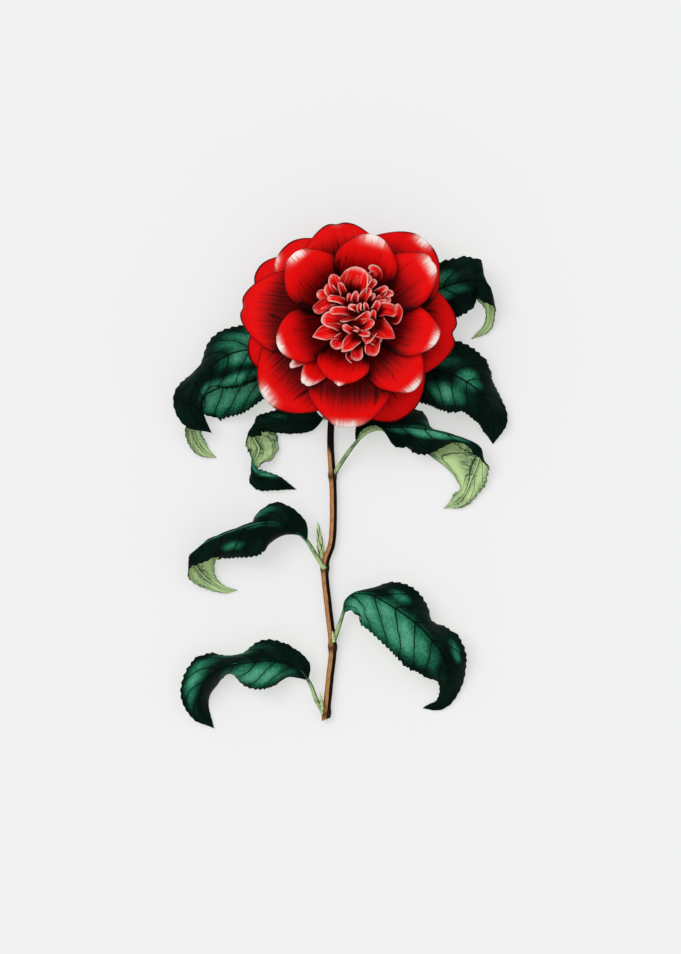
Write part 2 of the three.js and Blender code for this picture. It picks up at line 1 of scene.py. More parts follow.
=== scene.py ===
"""Looks of the camellia sprig: fine petals, petaloids, leaves, twig, buds and calyx round the frame."""

import math

import bmesh
import bpy
from bpy.props import FloatProperty, FloatVectorProperty, IntProperty, PointerProperty
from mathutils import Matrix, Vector, noise


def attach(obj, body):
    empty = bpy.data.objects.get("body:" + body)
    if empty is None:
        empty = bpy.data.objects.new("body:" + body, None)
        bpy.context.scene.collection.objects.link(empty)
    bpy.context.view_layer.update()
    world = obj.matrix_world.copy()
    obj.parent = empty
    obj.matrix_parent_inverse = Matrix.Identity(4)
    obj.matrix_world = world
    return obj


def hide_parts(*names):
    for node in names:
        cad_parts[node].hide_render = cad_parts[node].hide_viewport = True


bl_info = {
    "name": "Camellia Sprig",
    "version": (1, 0, 0),
    "blender": (4, 5, 0),
    "location": "View3D > Sidebar > Camellia",
    "description": "Builds a cut camellia sprig with its bloom, leaves, buds and twig",
    "category": "Object",
}

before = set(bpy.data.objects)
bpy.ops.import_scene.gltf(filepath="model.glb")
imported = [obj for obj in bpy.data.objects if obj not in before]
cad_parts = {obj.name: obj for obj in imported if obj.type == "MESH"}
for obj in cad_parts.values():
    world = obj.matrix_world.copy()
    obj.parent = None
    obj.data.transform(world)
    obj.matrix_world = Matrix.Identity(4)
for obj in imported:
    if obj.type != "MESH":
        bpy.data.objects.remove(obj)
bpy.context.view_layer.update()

# Sizes below are in millimetres, and heights are above the surface that the sprig lies on.
MM = 0.001
BLOOM_AXIS = (0.6, 5.6)  # the bloom's upright axis, from the frame's origin
GAP = 0.3  # air between two pieces that don't touch
CORE_RADIUS = 6.7  # receptacle that carries petals and petaloids
CORE_BOTTOM = 13
PETAL_ROOT_RADIUS = CORE_RADIUS + GAP
PETAL_SPAN = 42  # a petal rises by its share of this length
LEVEL_STEP = 1.2  # from the root of one petal to the next above it
ROOT_HEIGHT = 14.2  # root of the lowest petals
CALYX_BOTTOM = 9.6


# ---- Shapes ----------------------------------------------------------------------------------


def smooth(value, low, high):
    """Soft step from 0 at low to 1 at high; low may be the larger."""
    share = min(1, max(0, (value - low) / (high - low)))
    return share * share * (3 - 2 * share)


def hump(value, middle, width):
    """Bell of height 1 round a middle."""
    return math.exp(-(((value - middle) / width) ** 2))


class Course:
    """A smooth curve through points of any number of values, measured along its first three."""

    STEPS = 200

    def __init__(self, points):
        self.points = [tuple(map(float, point)) for point in points]
        spots = [self.value(step / self.STEPS) for step in range(self.STEPS + 1)]
        self.lengths = [0]
        for before, after in zip(spots, spots[1:]):
            self.lengths.append(self.lengths[-1] + math.dist(before[:3], after[:3]))

    def value(self, t):
        last = len(self.points) - 1
        place = min(max(t, 0), 1) * last
        index = min(int(place), last - 1)
        w = place - index
        b, c = self.points[index], self.points[index + 1]
        a = self.points[index - 1] if index else [2 * x - y for x, y in zip(b, c)]
        d = self.points[index + 2] if index + 2 <= last else [2 * y - x for x, y in zip(b, c)]
        value = []
        for x, y, z, v in zip(a, b, c, d):
            even, odd = x - 2.5 * y + 2 * z - v / 2, 1.5 * (y - z) + (v - x) / 2
            value.append(y + (z - x) / 2 * w + even * w**2 + odd * w**3)
        return value

    def share(self, s):
        """The curve's own parameter at share s of its length."""
        wanted = s * self.lengths[-1]
        for index in range(self.STEPS):
            if self.lengths[index + 1] >= wanted:
                step = self.lengths[index + 1] - self.lengths[index]
                return (index + (wanted - self.lengths[index]) / step) / self.STEPS
        return 1

    def heading(self, t):
        ahead = Vector(self.value(t + 1e-4)[:3])
        return (ahead - Vector(self.value(t - 1e-4)[:3])).normalized()


def bent_grid(across, along, reach, place, tone):
    """A grid of quads: place and tone take u from -reach to reach and v from 0 to 1."""
    bm = bmesh.new()
    uv = bm.loops.layers.uv.new("blade")
    layer = bm.verts.layers.float_color.new("tone")
    bmesh.ops.create_grid(bm, x_segments=across, y_segments=along, size=1)
    for face in bm.faces:
        for loop in face.loops:
            loop[uv].uv = ((loop.vert.co.x + 1) / 2, (loop.vert.co.y + 1) / 2)
    for vert in bm.verts:
        u, v = reach * vert.co.x, (vert.co.y + 1) / 2
        vert[layer] = (*tone(u, v), 1)
        vert.co = place(u, v) * MM
    return bm


def sheet(across, along, place, name, tone):
    """An open sheet: place(u, v) gives millimetres, with u from -1 to 1 across and v from 0 to 1."""
    bm = bent_grid(across, along, 1, place, tone)
    bm.normal_update()
    return piece(bm, name)


def tube(around, along, place, name, tone):
    """A closed tube: place(angle, s) gives millimetres; its two ends are capped."""
    bm = bent_grid(around, along, math.pi, place, tone)
    bmesh.ops.remove_doubles(bm, verts=bm.verts, dist=1e-6)
    bmesh.ops.holes_fill(bm, edges=[edge for edge in bm.edges if edge.is_boundary], sides=0)
    bmesh.ops.recalc_face_normals(bm, faces=bm.faces)
    return piece(bm, name)


def piece(bm, name):
    """Links a smooth object made from a bmesh."""
    mesh = bpy.data.meshes.new(name)
    bm.to_mesh(mesh)
    bm.free()
    mesh.shade_smooth()
    made = bpy.data.objects.new(name, mesh)
    bpy.context.scene.collection.objects.link(made)
    return made


def joined(pieces, name):
    """Several meshes made one, with their UV maps and tones kept."""
    bm = bmesh.new()
    for part in pieces:
        bm.from_mesh(part.data)
        bpy.data.meshes.remove(part.data)
    return piece(bm, name)


def walled(made, thickness, back=0):
    """Gives a sheet its thickness, half to each side; the under face takes the next material."""
    wall = made.modifiers.new("thickness", "SOLIDIFY")
    wall.thickness = thickness * MM
    wall.offset = 0
    wall.material_offset = back
    return made


def baked(made):
    """The piece with its modifiers applied."""
    final = made.evaluated_get(bpy.context.evaluated_depsgraph_get())
    mesh = bpy.data.meshes.new_from_object(final)
    old = made.data
    made.modifiers.clear()
    made.data = mesh
    bpy.data.meshes.remove(old)
    return made


def round_bloom(turn, out, aside, height):
    """A spot as far out from the bloom's axis at an angle, and as far to the side of that line."""
    x = BLOOM_AXIS[0] + out * math.cos(turn) + aside * math.sin(turn)
    y = BLOOM_AXIS[1] + out * math.sin(turn) - aside * math.cos(turn)
    return Vector((x, y, height))


def turned(profile):
    """Places of a shape turned round the bloom's axis, from its corners (radius, height)."""
    last = len(profile) - 1

    def place(angle, s):
        index = min(int(s * last), last - 1)
        (r0, z0), (r1, z1) = profile[index : index + 2]
        share = s * last - index
        return round_bloom(angle, r0 + (r1 - r0) * share, 0, z0 + (z1 - z0) * share)

    return place


def settle(made, node, slot, *materials):
    """Puts a finished piece in its CAD node's place."""
    for material in materials:
        made.data.materials.append(material)
    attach(made, "root")
    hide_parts(node)


# ---- Materials -------------------------------------------------------------------------------


class Value:
    """A socket that takes arithmetic: each operator adds a Math node."""

    def __init__(self, paint, socket):
        self.paint = paint
        self.socket = socket

    def math(self, operation, *others, first=None):
        terms = [self, *others] if first is None else [first, self, *others]
        return self.paint.node("ShaderNodeMath", {"operation": operation}, dict(enumerate(terms)))

    def __add__(self, other):
        return self.math("ADD", other)

    def __sub__(self, other):
        return self.math("SUBTRACT", other)

    def __rsub__(self, other):
        return self.math("SUBTRACT", first=other)

    def __mul__(self, other):
        return self.math("MULTIPLY", other)

    def __pow__(self, other):
        return self.math("POWER", other)

    def __abs__(self):
        return self.math("ABSOLUTE")

    __radd__ = __add__
    __rmul__ = __mul__


class Paint:
    """A material in the making."""

    def __init__(self, name):
        self.material = bpy.data.materials.new(name)
        self.material.use_nodes = True
        self.tree = self.material.node_tree
        self.shader = self.tree.nodes["Principled BSDF"]

    def node(self, kind, settings=None, inputs=None, output=0):
        made = self.tree.nodes.new(kind)
        for key, value in (settings or {}).items():
            setattr(made, key, value)
        for key, value in (inputs or {}).items():
            self.feed(made.inputs[key], value)
        return Value(self, made.outputs[output])

    def feed(self, socket, value):
        if isinstance(value, Value):
            self.tree.links.new(value.socket, socket)
        else:
            socket.default_value = value

    def set(self, **sockets):
        for key, value in sockets.items():
            self.feed(self.shader.inputs[key.replace("_", " ")], value)
        return self.material

    def split(self, vector):
        parts = self.node("ShaderNodeSeparateXYZ", None, {0: vector}).socket.node.outputs
        return [Value(self, part) for part in parts]

    def place(self):
        """How far across (-1 to 1) and how far along (0 to 1) the piece."""
        across, along, _ = self.split(self.node("ShaderNodeUVMap", {"uv_map": "blade"}))
        return across * 2 - 1, along

    def tones(self):
        """The three tones that the piece's shape gives."""
        colour = self.node("ShaderNodeAttribute", {"attribute_name": "tone"})
        parts = self.node("ShaderNodeSeparateColor", None, {0: colour}).socket.node.outputs
        return [Value(self, part) for part in parts]

    def fade(self, value, low, high):
        """Soft step from 0 at low to 1 at high; low may be the larger."""
        inputs = {0: value, 1: low, 2: high}
        return self.node("ShaderNodeMapRange", {"interpolation_type": "SMOOTHSTEP"}, inputs)

    def mix(self, factor, one, other):
        inputs = {0: factor, 6: one, 7: other}
        return self.node("ShaderNodeMix", {"data_type": "RGBA"}, inputs, output=2)

    def coats(self, colour, *coats):
        """A colour under coats, each a mask and the coat's own colour."""
        for mask, coat in coats:
            colour = self.mix(mask, colour, coat)
        return colour

    def noise(self, across, along, up=0.0, scale=1.0, detail=2.0):
        spot = self.node("ShaderNodeCombineXYZ", None, {0: across, 1: along, 2: up})
        return self.node("ShaderNodeTexNoise", None, {"Vector": spot, "Scale": scale, "Detail": detail})

    def object_noise(self, scale, detail=3.0):
        spot = self.node("ShaderNodeTexCoord", None, None, output=3)
        return self.node("ShaderNodeTexNoise", None, {"Vector": spot, "Scale": scale, "Detail": detail})

    def bump(self, height, distance, strength=1.0):
        inputs = {"Height": height, "Distance": distance, "Strength": strength}
        self.set(Normal=self.node("ShaderNodeBump", None, inputs))


# ---- Settings --------------------------------------------------------------------------------


def colour_property(name, description, default):
    look = {"subtype": "COLOR", "size": 4, "min": 0, "max": 1}
    return FloatVectorProperty(name=name, description=description, default=(*default, 1), **look)


def thickness_property(name, description, default):
    limits = {"min": 0.2 * MM, "max": 1 * MM}
    return FloatProperty(name=name, description=description, default=default, unit="LENGTH", **limits)


def amount_property(name, description, default, highest):
    return FloatProperty(name=name, description=description, default=default, min=0, max=highest)


class CamelliaBloom(bpy.types.PropertyGroup):
    """Finishes of the petals and petaloids"""

    petal_red: colour_property("Petal Red", "Lit face of a petal", (0.8, 0.002, 0.002))
    # Painted shade: the deep red laid at the root, in the creases and along the edges of petals and
    # petaloids.
    petal_deep: colour_property("Petal Shadow", "Creases and root of a petal", (0.02, 0.0, 0.0003))
    tip_cream: colour_property("Tip Cream", "Blotch at a petal's tip", (0.93, 0.8, 0.74))
    # Rim pink: on petaloids partly their own pale edge and partly painted highlight; it also tints the
    # petals' cream tips.
    rim_pink: colour_property("Rim Pink", "Rim of a petaloid", (0.95, 0.48, 0.42))
    petaloid_thickness: thickness_property("Petaloid Thickness", "How thick a petaloid is", 0.35 * MM)
    petal_thickness: thickness_property("Petal Thickness", "How thick a petal is", 0.5 * MM)


class CamelliaFoliage(bpy.types.PropertyGroup):
    """Finishes of the leaves, buds and calyx"""

    leaf_deep: colour_property("Leaf Deep", "Darkest green of a leaf", (0.0003, 0.003, 0.002))
    leaf_green: colour_property("Leaf Green", "Lit green of a leaf", (0.012, 0.14, 0.075))
    # Painted highlight: the palest green, laid where a leaf's sheen patches are.
    painted_leaf_sheen: colour_property("Leaf Sheen", "Palest green of a leaf's face", (0.09, 0.36, 0.22))
    leaf_pale: colour_property("Leaf Underside", "Underside of a leaf", (0.5, 0.68, 0.3))
    leaf_grey: colour_property("Underside Shade", "Shaded underside", (0.07, 0.14, 0.06))
    bud_green: colour_property("Bud Green", "Scales of the leaf buds", (0.55, 0.7, 0.33))
    bud_tip: colour_property("Scale Tip", "Dry tip of a bud scale", (0.25, 0.1, 0.03))
    sepal_edge: colour_property("Sepal Edge", "Dry edge of a sepal", (0.22, 0.1, 0.04))
    teeth: IntProperty(name="Teeth", description="Teeth along a leaf's margin", default=34, min=8, max=60)
    leaf_thickness: thickness_property("Leaf Thickness", "How thick a blade is", 0.5 * MM)


class CamelliaTwig(bpy.types.PropertyGroup):
    """Finish of the twig"""

    bark: colour_property("Bark", "Lit bark", (0.5, 0.23, 0.085))
    bark_dark: colour_property("Dark Bark", "Bark at the nodes and in the streaks", (0.035, 0.014, 0.008))
    bark_deep: colour_property("Deep Bark", "Shaded side, and the end by the bloom", (0.006, 0.003, 0.002))


class CamelliaStage(bpy.types.PropertyGroup):
    """Floor and light"""

    floor: colour_property("Floor", "Plain pale floor", (0.43, 0.43, 0.43))
    floor_glow: amount_property("Floor Glow", "How far the floor lights itself", 0.45, 2)
    sky: amount_property("Sky", "Strength of the even light", 0.7, 2)
    key_light: amount_property("Key Light", "Strength of the soft sun", 1.2, 20)
    key_softness: FloatProperty(
        name="Key Softness", description="Angle of the sun", default=math.radians(40), subtype="ANGLE"
    )


# ---- Twig ------------------------------------------------------------------------------------

TWIG = Course(
    [
        (-11.5, -178.5, 2.35),
        (-10.9, -171.1, 2.5),
        (-9.5, -157.6, 2.7),
        (-8.3, -144, 2.9),
        (-10.2, -126.2, 2.8),
        (-11.9, -107.2, 3),
        (-8.8, -96.3, 2.8),
        (-8, -86, 2.7),
        (-8.1, -69.8, 2.6),
        (-9.2, -52.1, 2.6),
        (-9, -40, 2.5),
        (-7.7, -29.3, 2.2),
        (-4.6, -13, 1.9),
        (-1.2, -4, 1.5),
        (0.1, 1.8, 1.55),
        (0.6, 4.9, 3.9),
        (0.6, 5.6, 6.6),
        (0.6, 5.6, 9.3),
    ]
)
TWIG_NODES = (-107.2, -144, -64.5, -174.5)  # where leaves stand on it, along y
TWIG_RADIUS = 1.85
TWIG_TAPER = 0.35  # how much slimmer it is at the bloom
NODE_SWELLING = 0.45
RING_DEPTH = 0.12  # of the groove beside a node
RING_OFFSET = 2.1
CUT_SPOT = (-11.6, -177.6)  # middle of the cut end
CUT_SLANT = 0.4
CUT_FROM = -170  # nothing before this y is cut
BLOOM_SHADE = (-56.5, -52)  # painted shade under the bloom: the bark darkens from the one y to the other


class CAMELLIA_OT_twig(bpy.types.Operator):
    """Build the woody twig"""

    bl_idname = "camellia.twig"
    bl_label = "Build Twig"

    def execute(self, context):
        settings = context.scene.camellia_twig

        def place(angle, s):
            t = TWIG.share(s)
            spot = Vector(TWIG.value(t))
            ahead = TWIG.heading(t)
            side = (Vector((1, 0, 0)) - ahead.x * ahead).normalized()
            swelling = sum(hump(spot.y, node, 2.2) for node in TWIG_NODES)
            ring = sum(hump(spot.y, node + RING_OFFSET, 0.35) for node in TWIG_NODES)
            around = Vector((math.cos(angle), math.sin(angle), 0))
            grain = noise.noise(around * 3 + Vector((0, 0, spot.y * 0.5)))
            radius = TWIG_RADIUS - TWIG_TAPER * s + NODE_SWELLING * swelling - RING_DEPTH * ring
            radius += 0.07 * noise.noise(around + Vector((0, 0, spot.y * 0.25))) + 0.03 * grain
            spot += side * radius * math.cos(angle) + ahead.cross(side) * -radius * math.sin(angle)
            spot.z = max(spot.z, 0)
            if spot.y < CUT_FROM:
                spot.y = max(spot.y, CUT_SPOT[1] + CUT_SLANT * (spot.x - CUT_SPOT[0]))
            return spot

        def tone(angle, s):
            y = TWIG.value(TWIG.share(s))[1]
            dark = sum(hump(y, node - 0.5, 2) for node in TWIG_NODES)
            bloom_shade = smooth(y + 3 * math.cos(angle), *BLOOM_SHADE)
            return min(1, dark), bloom_shade, 0

        made = tube(28, 420, place, "twig", tone)
        paint = Paint("bark")
        across, along = paint.place()
        dark, shade, _ = paint.tones()
        streak = paint.fade(paint.noise(across * 7, along * 40, scale=1.6, detail=3.0), 0.45, 0.7)
        flecks = paint.fade(paint.object_noise(1900.0), 0.6, 0.72)
        wander = paint.object_noise(120.0) * 0.12
        side = paint.fade(abs(across) + wander, 0.56, 0.5)
        far_side = paint.fade(abs(across), 0.68, 0.85)
        # Painted shade: the right half of the twig (side) and its end under the bloom (shade) turn to deep
        # bark.
        bark = paint.coats(
            settings.bark,
            (streak * 0.5, settings.bark_dark),
            (flecks * 0.35 + far_side * 0.35, settings.bark_dark),
            (side, settings.bark_deep),
            (dark * 0.85, settings.bark_dark),
            (shade, settings.bark_deep),
        )
        paint.set(Base_Color=bark, Roughness=0.6, Specular_IOR_Level=0.05)
        paint.bump(streak + flecks, 0.00006)
        settle(made, "stem", "bark", paint.material)
        return {"FINISHED"}


# ---- Leaves ----------------------------------------------------------------------------------

# Each leaf: left and right half width, share of its length at which it is widest, share that is petiole.
LEAVES = {
    "leaf_1": (11.5, 15, 0.44, 0.12),
    "leaf_2": (16, 17, 0.47, 0.17),
    "leaf_3": (16.5, 14, 0.47, 0.17),
    "leaf_4": (16, 13.5, 0.46, 0.13),
    "leaf_5": (15, 13, 0.46, 0.16),
    "leaf_6": (9.5, 10.5, 0.5, 0.05),
    "leaf_7": (16, 13.5, 0.46, 0.15),
    "leaf_8": (14, 17.5, 0.5, 0.15),
    "leaf_9": (14.5, 11.5, 0.48, 0.19),
}
# The patches of painted sheen (highlights laid into the colour) on each blade: across, along, how wide,
# how long, strength.
SHEEN = {
    "leaf_1": [(-0.35, 0.42, 0.3, 0.1, 0.9), (0.2, 0.36, 0.2, 0.18, 1.1)],
    "leaf_2": [(-0.45, 0.36, 0.3, 0.08, 0.9), (-0.1, 0.56, 0.3, 0.07, 0.9), (0.55, 0.46, 0.28, 0.14, 1.1)],
    "leaf_3": [(0.12, 0.36, 0.2, 0.18, 1.1), (-0.5, 0.36, 0.3, 0.06, 0.6)],
    "leaf_4": [
        (0.35, 0.28, 0.5, 0.17, 1.1),
        (-0.2, 0.34, 0.2, 0.16, 1.1),
        (-0.75, 0.5, 0.17, 0.22, 1.2),
        (-0.5, 0.68, 0.2, 0.1, 0.8),
    ],
    "leaf_5": [(-0.1, 0.45, 0.9, 0.4, 1.1)],
    "leaf_6": [(-0.9, 0.7, 0.5, 0.09, 1.3), (-0.7, 0.82, 0.35, 0.06, 0.9), (0.5, 0.25, 0.3, 0.1, 0.3)],
    "leaf_7": [(0.75, 0.24, 0.25, 0.06, 0.8), (-0.45, 0.42, 0.18, 0.06, 0.9), (0, 0.25, 0.1, 0.12, 0.7)],
    "leaf_8": [(0.5, 0.3, 0.5, 0.32, 1.5), (-0.55, 0.66, 0.2, 0.05, 0.9), (-0.5, 0.32, 0.2, 0.05, 0.7)],
    "leaf_9": [(-0.5, 0.32, 0.45, 0.22, 1.1), (0.75, 0.4, 0.3, 0.16, 0.6), (0.5, 0.7, 0.4, 0.14, 0.9)],
}
# Each leaf's course from the twig to its tip: x, y, height, lean and azimuth of the upper face, how far
# the left and the right half bend up, and the shares of their full width to which they spread, which
# are whole where they aren't given.
LEAF_COURSES = {
    "leaf_1": [
        (-4.5, -11, 2.6, 0, 0, 10, 10),
        (2, -7.5, 4.2, 0, 0, 10, 10),
        (12, 0.5, 6.6, 4, 300, 10, 10, 1, 0.8),
        (26, 11, 9, 4, 300, 5, 8, 1, 0.8),
        (40, 20.8, 11.5, 4, 300, -5, 4),
        (49, 24.2, 15, 5, 290, -10, -5),
        (58, 25, 17.5, 15, 320, -30, -50, 1, 0.85),
        (63.8, 22.6, 15, 68, 15, -50, -75, 0.9, 0.75),
        (65.6, 17.8, 9.6, 122, 25, -45, -50, 1, 0.5),
        (65, 11.6, 5, 155, 30, -40, -20, 0.4, 0.3),
        (63.2, 4.4, 2, 165, 40, -20, -10, 0.5, 0.5),
        (56.3, -0.9, 0, 170, 60, 0, 0),
    ],
    "leaf_2": [
        (-6.6, -23, 2.5, 0, 0, 10, 10),
        (0, -21.6, 3.2, 0, 0, 10, 10),
        (10, -19, 4, 0, 0, 8, 8, 0.8, 1),
        (25, -16, 6, 0, 0, 0, 5, 0.9, 1),
        (40, -16, 10, 0, 0, -10, 0),
        (51, -20, 14, 5, 300, -25, 0),
        (60, -27, 15, 5, 330, -50, -18, 1, 0.85),
        (65.2, -36, 10.5, 5, 340, -42, 0, 0.9, 0.72),
        (66.2, -43.5, 5, 5, 300, -10, 5, 1, 0.8),
        (66.2, -49.8, 0, 5, 270, 0, 0),
    ],
    "leaf_3": [
        (-8.1, -64.5, 2.6, 0, 0, 20, 60),
        (-4, -58, 5, 0, 0, 20, 60),
        (1, -51, 7.5, 0, 0, 20, 110),
        (6.5, -45.5, 8.5, 10, 270, -30, 125),
        (14, -42.8, 9, 12, 270, -50, 110, 1, 0.75),
        (24, -42.2, 10, 5, 265, -55, -20, 1, 0.86),
        (31, -42.8, 11.8, 0, 265, -58, -10, 0.9, 0.9),
        (38, -43.8, 13.2, 0, 265, -112, -25, 0.8, 0.85),
        (47.5, -46.4, 14.5, 5, 300, -112, -62, 0.6, 0.5),
        (55.4, -48.8, 13.5, 45, 10, -105, -85, 0.5, 0.3),
        (60.4, -52, 9, 108, 22, -50, -60, 0.6, 0.35),
        (59.6, -56.8, 4.6, 158, 27, 10, -20, 1.8, 0.5),
        (57.8, -61.8, 2.8, 174, 27, 0, -10, 2.3, 0.6),
        (55.6, -67, 2.2, 176, 300, 5, 0, 0.9, 0.8),
        (53.4, -72.4, 1.6, 178, 300, 5, 0, 0.4, 0.8),
        (49.7, -76.8, 1, 178, 300, 0, 0),
        (43.5, -79.6, 0, 178, 300, 0, 0),
    ],
    "leaf_4": [
        (-5.6, -17, 2.6, 0, 0, 8, 8),
        (-12, -14.5, 4.5, 0, 0, 8, 8),
        (-22, -10, 7, 0, 0, 8, 8),
        (-35, -6.6, 10, 0, 0, 0, -10),
        (-46, -6.4, 14, 0, 270, -10, -25),
        (-56, -9, 18.5, 0, 270, -10, -35),
        (-64.6, -15, 21, 0, 225, -45, -66, 1, 0.9),
        (-70.6, -21.7, 20.5, 0, 225, -62, -66, 1, 0.9),
        (-73.6, -30, 17.5, 0, 230, -58, -38),
        (-72, -38, 12.5, 0, 250, -35, -15),
        (-64.4, -44.6, 6.5, 0, 250, 0, 0),
    ],
    "leaf_5": [
        (-7.6, -27.5, 2.5, 0, 0, 8, 8),
        (-14, -25, 3, 0, 0, 8, 8),
        (-26, -19.5, 4, 0, 0, 8, 8, 0.7, 1),
        (-40, -18.6, 5, 0, 0, 5, 5, 0.8, 1),
        (-53, -21, 6, 0, 270, 0, 0),
        (-63, -24.8, 6.4, 0, 225, -10, -20, 0.95, 1),
        (-69.8, -28.6, 6, 25, 190, -35, -60, 0.95, 0.5),
        (-73.8, -33.4, 4, 112, 150, -80, -70, 0.4, 0.45),
        (-73.6, -39.5, 2.4, 155, 150, -45, -50, 0.4, 0.48),
        (-72.2, -46.5, 1.8, 174, 150, -20, -30, 0.5, 0.5),
        (-68.5, -52.6, 1.2, 178, 190, -20, 0, 0.75, 0.75),
        (-62.4, -56.2, 0, 178, 190, 0, 0),
    ],
    "leaf_6": [
        (-9.2, -37, 2.5, 0, 0, 8, 8),
        (-16, -38.8, 4.5, 30, 270, 8, 8, 1.25, 1.7),
        (-26, -40, 7.5, 45, 270, 5, -25),
        (-36, -40.4, 10.5, 40, 270, -15, -70, 0.8, 0.7),
        (-43.6, -41.4, 11.5, 55, 220, -30, -80, 0.7, 0.6),
        (-46.6, -43.6, 8, 115, 142, -40, -50, 0.4, 0.7),
        (-44.8, -47.6, 4.4, 158, 142, -10, -5, 0.5, 0.9),
        (-42.6, -52, 3, 172, 160, -30, 0, 0.6, 0.9),
        (-44.2, -56.6, 3.2, 150, 200, -40, -50, 0.6, 0.5),
        (-46.2, -60.8, 4.4, 88, 205, -50, -60, 0.4, 0.4),
        (-44, -65.4, 4.2, 25, 250, -40, -30, 0.6, 0.8),
        (-34.6, -67.6, 2.6, 5, 270, -30, 0, 0.8, 0.8),
        (-25.1, -70.9, 0, 0, 0, 0, 0),
    ],
    "leaf_7": [
        (-12, -107.4, 4.2, 0, 0, 20, 20),
        (-15.6, -102, 6, 0, 240, 0, 20),
        (-20.6, -94, 10, 0, 240, -95, 20, 0.7, 1),
        (-26.2, -89.8, 13.5, 0, 240, -66, 0, 0.95, 1),
        (-33, -87, 16.5, 0, 260, -30, -12),
        (-38.5, -86.3, 18.8, 0, 260, -18, -55, 1, 0.9),
        (-44.4, -87, 20.5, 5, 265, -14, -105),
        (-56, -90.8, 21, 5, 250, -35, -115),
        (-66, -95, 18.6, 10, 200, -45, -110, 0.9, 1),
        (-71.4, -98.6, 14.5, 65, 170, -70, -95, 0.55, 1.1),
        (-74.6, -102, 9, 118, 160, -50, -50, 0.4, 1.35),
        (-71.8, -107, 4.2, 160, 160, -20, -10, 0.5, 1.45),
        (-67.6, -111.6, 2.6, 174, 200, -10, 0, 0.55, 0.85),
        (-63.2, -115, 1.6, 178, 270, -5, 0, 0.5, 0.5),
        (-58.3, -117.4, 1, 178, 270, 0, 0, 0.6, 0.6),
        (-52.8, -117.7, 0, 178, 270, 0, 0),
    ],
    "leaf_8": [
        (-8.6, -143.5, 2.8, 0, 0, 10, 10),
        (-6, -136, 4.5, 0, 225, 10, 10),
        (-3.4, -127.5, 7.5, 20, 180, -60, 0),
        (-2.6, -122.3, 11, 40, 180, -100, 0, 1, 1.15),
        (1.5, -118.8, 14.5, 15, 180, -105, 0, 1, 1.15),
        (8, -118.9, 16.5, 5, 230, -80, 0, 1, 1.1),
        (14, -121.5, 17.5, 0, 230, -36, 0),
        (21, -125.7, 18.5, 0, 230, -20, -10),
        (29.6, -131.8, 19, 0, 230, -48, -5),
        (35, -137, 18.5, 0, 230, -66, 0),
        (42, -146, 16.5, 0, 230, -30, -5, 0.9, 0.95),
        (45, -153.8, 13, 0, 240, -30, 0, 0.9, 0.8),
        (45.4, -161, 8.5, 0, 290, -42, 0, 0.9, 0.42),
        (41.2, -170, 2.5, 0, 270, -20, 0, 0.9, 0.35),
        (33.6, -172.6, 0, 0, 0, 0, 0),
    ],
    "leaf_9": [
        (-12, -175.2, 2.6, 0, 0, 8, 8),
        (-15.8, -168.6, 4, 0, 0, 8, 8),
        (-18.8, -160.6, 6.5, 0, 0, 0, 8),
        (-24, -153.6, 9.5, 0, 250, -40, 5),
        (-35, -149.8, 13, 0, 270, 0, -5),
        (-47, -150.2, 15.5, 0, 270, -30, -67),
        (-57.5, -152, 16, 0, 270, -72, -68, 0.95, 1),
        (-65.5, -157, 14, 0, 225, -62, -24, 0.85, 1),
        (-69.8, -165.4, 9.5, 0, 190, -55, -10),
        (-69, -174.6, 4, 0, 180, -50, 0),
        (-63.5, -181.9, 0, 0, 180, 0, 0),
    ],
}
TOOTH = 1.3  # how far a tooth of the margin stands out
TOOTH_MEAN = 0.2
QUILT = 0.42  # how far the blade swells between two side veins
TABLE_BLEND = 0.5
LEAF_CLEARANCE = 0.12  # air between a blade and the surface, and between a blade and its rib
PETIOLE_RADIUS = 1.05
RIB_END = 0.97  # share of the leaf at which its rib ends
VEINS = 9  # side veins in each half of a blade
VEIN_SWEEP = 1.7  # how far a side vein runs on towards the tip, in veins
VEIN_BOW = 1.3


class LeafCourse:
    """Where a leaf's midrib runs, which way its blade faces, and how it bends and spreads."""

    def __init__(self, course):
        rows = []
        for x, y, z, lean, towards, left, right, *spreads in course:
            a, b = math.radians(lean), math.radians(towards)
            face = (math.sin(a) * math.cos(b), math.sin(a) * math.sin(b), math.cos(a))
            rows.append((x, y, z, *face, left, right, *(spreads or (1, 1))))
        self.course = Course(rows)

    def at(self, s):
        t = self.course.share(s)
        value = self.course.value(t)
        ahead = self.course.heading(t)
        right = ahead.cross(Vector(value[3:6])).normalized()
        return Vector(value[:3]), right, right.cross(ahead).normalized(), value[6:8], value[8:10]


def leaf_outline(v, widest):
    """Half width of a blade, as a share of its largest."""
    oval = math.sin(math.pi * (0.02 + 0.975 * v) ** (math.log(0.5) / math.log(widest))) ** 0.6
    return oval * smooth(v, -0.04, 0.06) * (1 - 0.35 * smooth(v, 0.75, 1)) * min(1, (1 - v) / 0.1) ** 0.5


def bent_half(bend, t):
    """How far out and up a half blade that bends evenly has come at share t of its width."""
    start, turn = 0.6 * math.radians(bend), 0.8 * math.radians(bend)
    if abs(turn) < 1e-3:
        return t, 0
    out = (math.sin(start + turn * t) - math.sin(start)) / turn
    return out, (math.cos(start) - math.cos(start + turn * t)) / turn


def rest_on_table(spot, clearance):
    """Lifts a spot softly, so that it stays at least as high as the clearance."""
    drop = spot.z - clearance
    spot.z = (spot.z + clearance + math.hypot(drop, TABLE_BLEND)) / 2
    return spot


def vein_count(u, v):
    """Whole numbers at the side veins."""
    return VEINS * v - VEIN_SWEEP * abs(u) ** VEIN_BOW


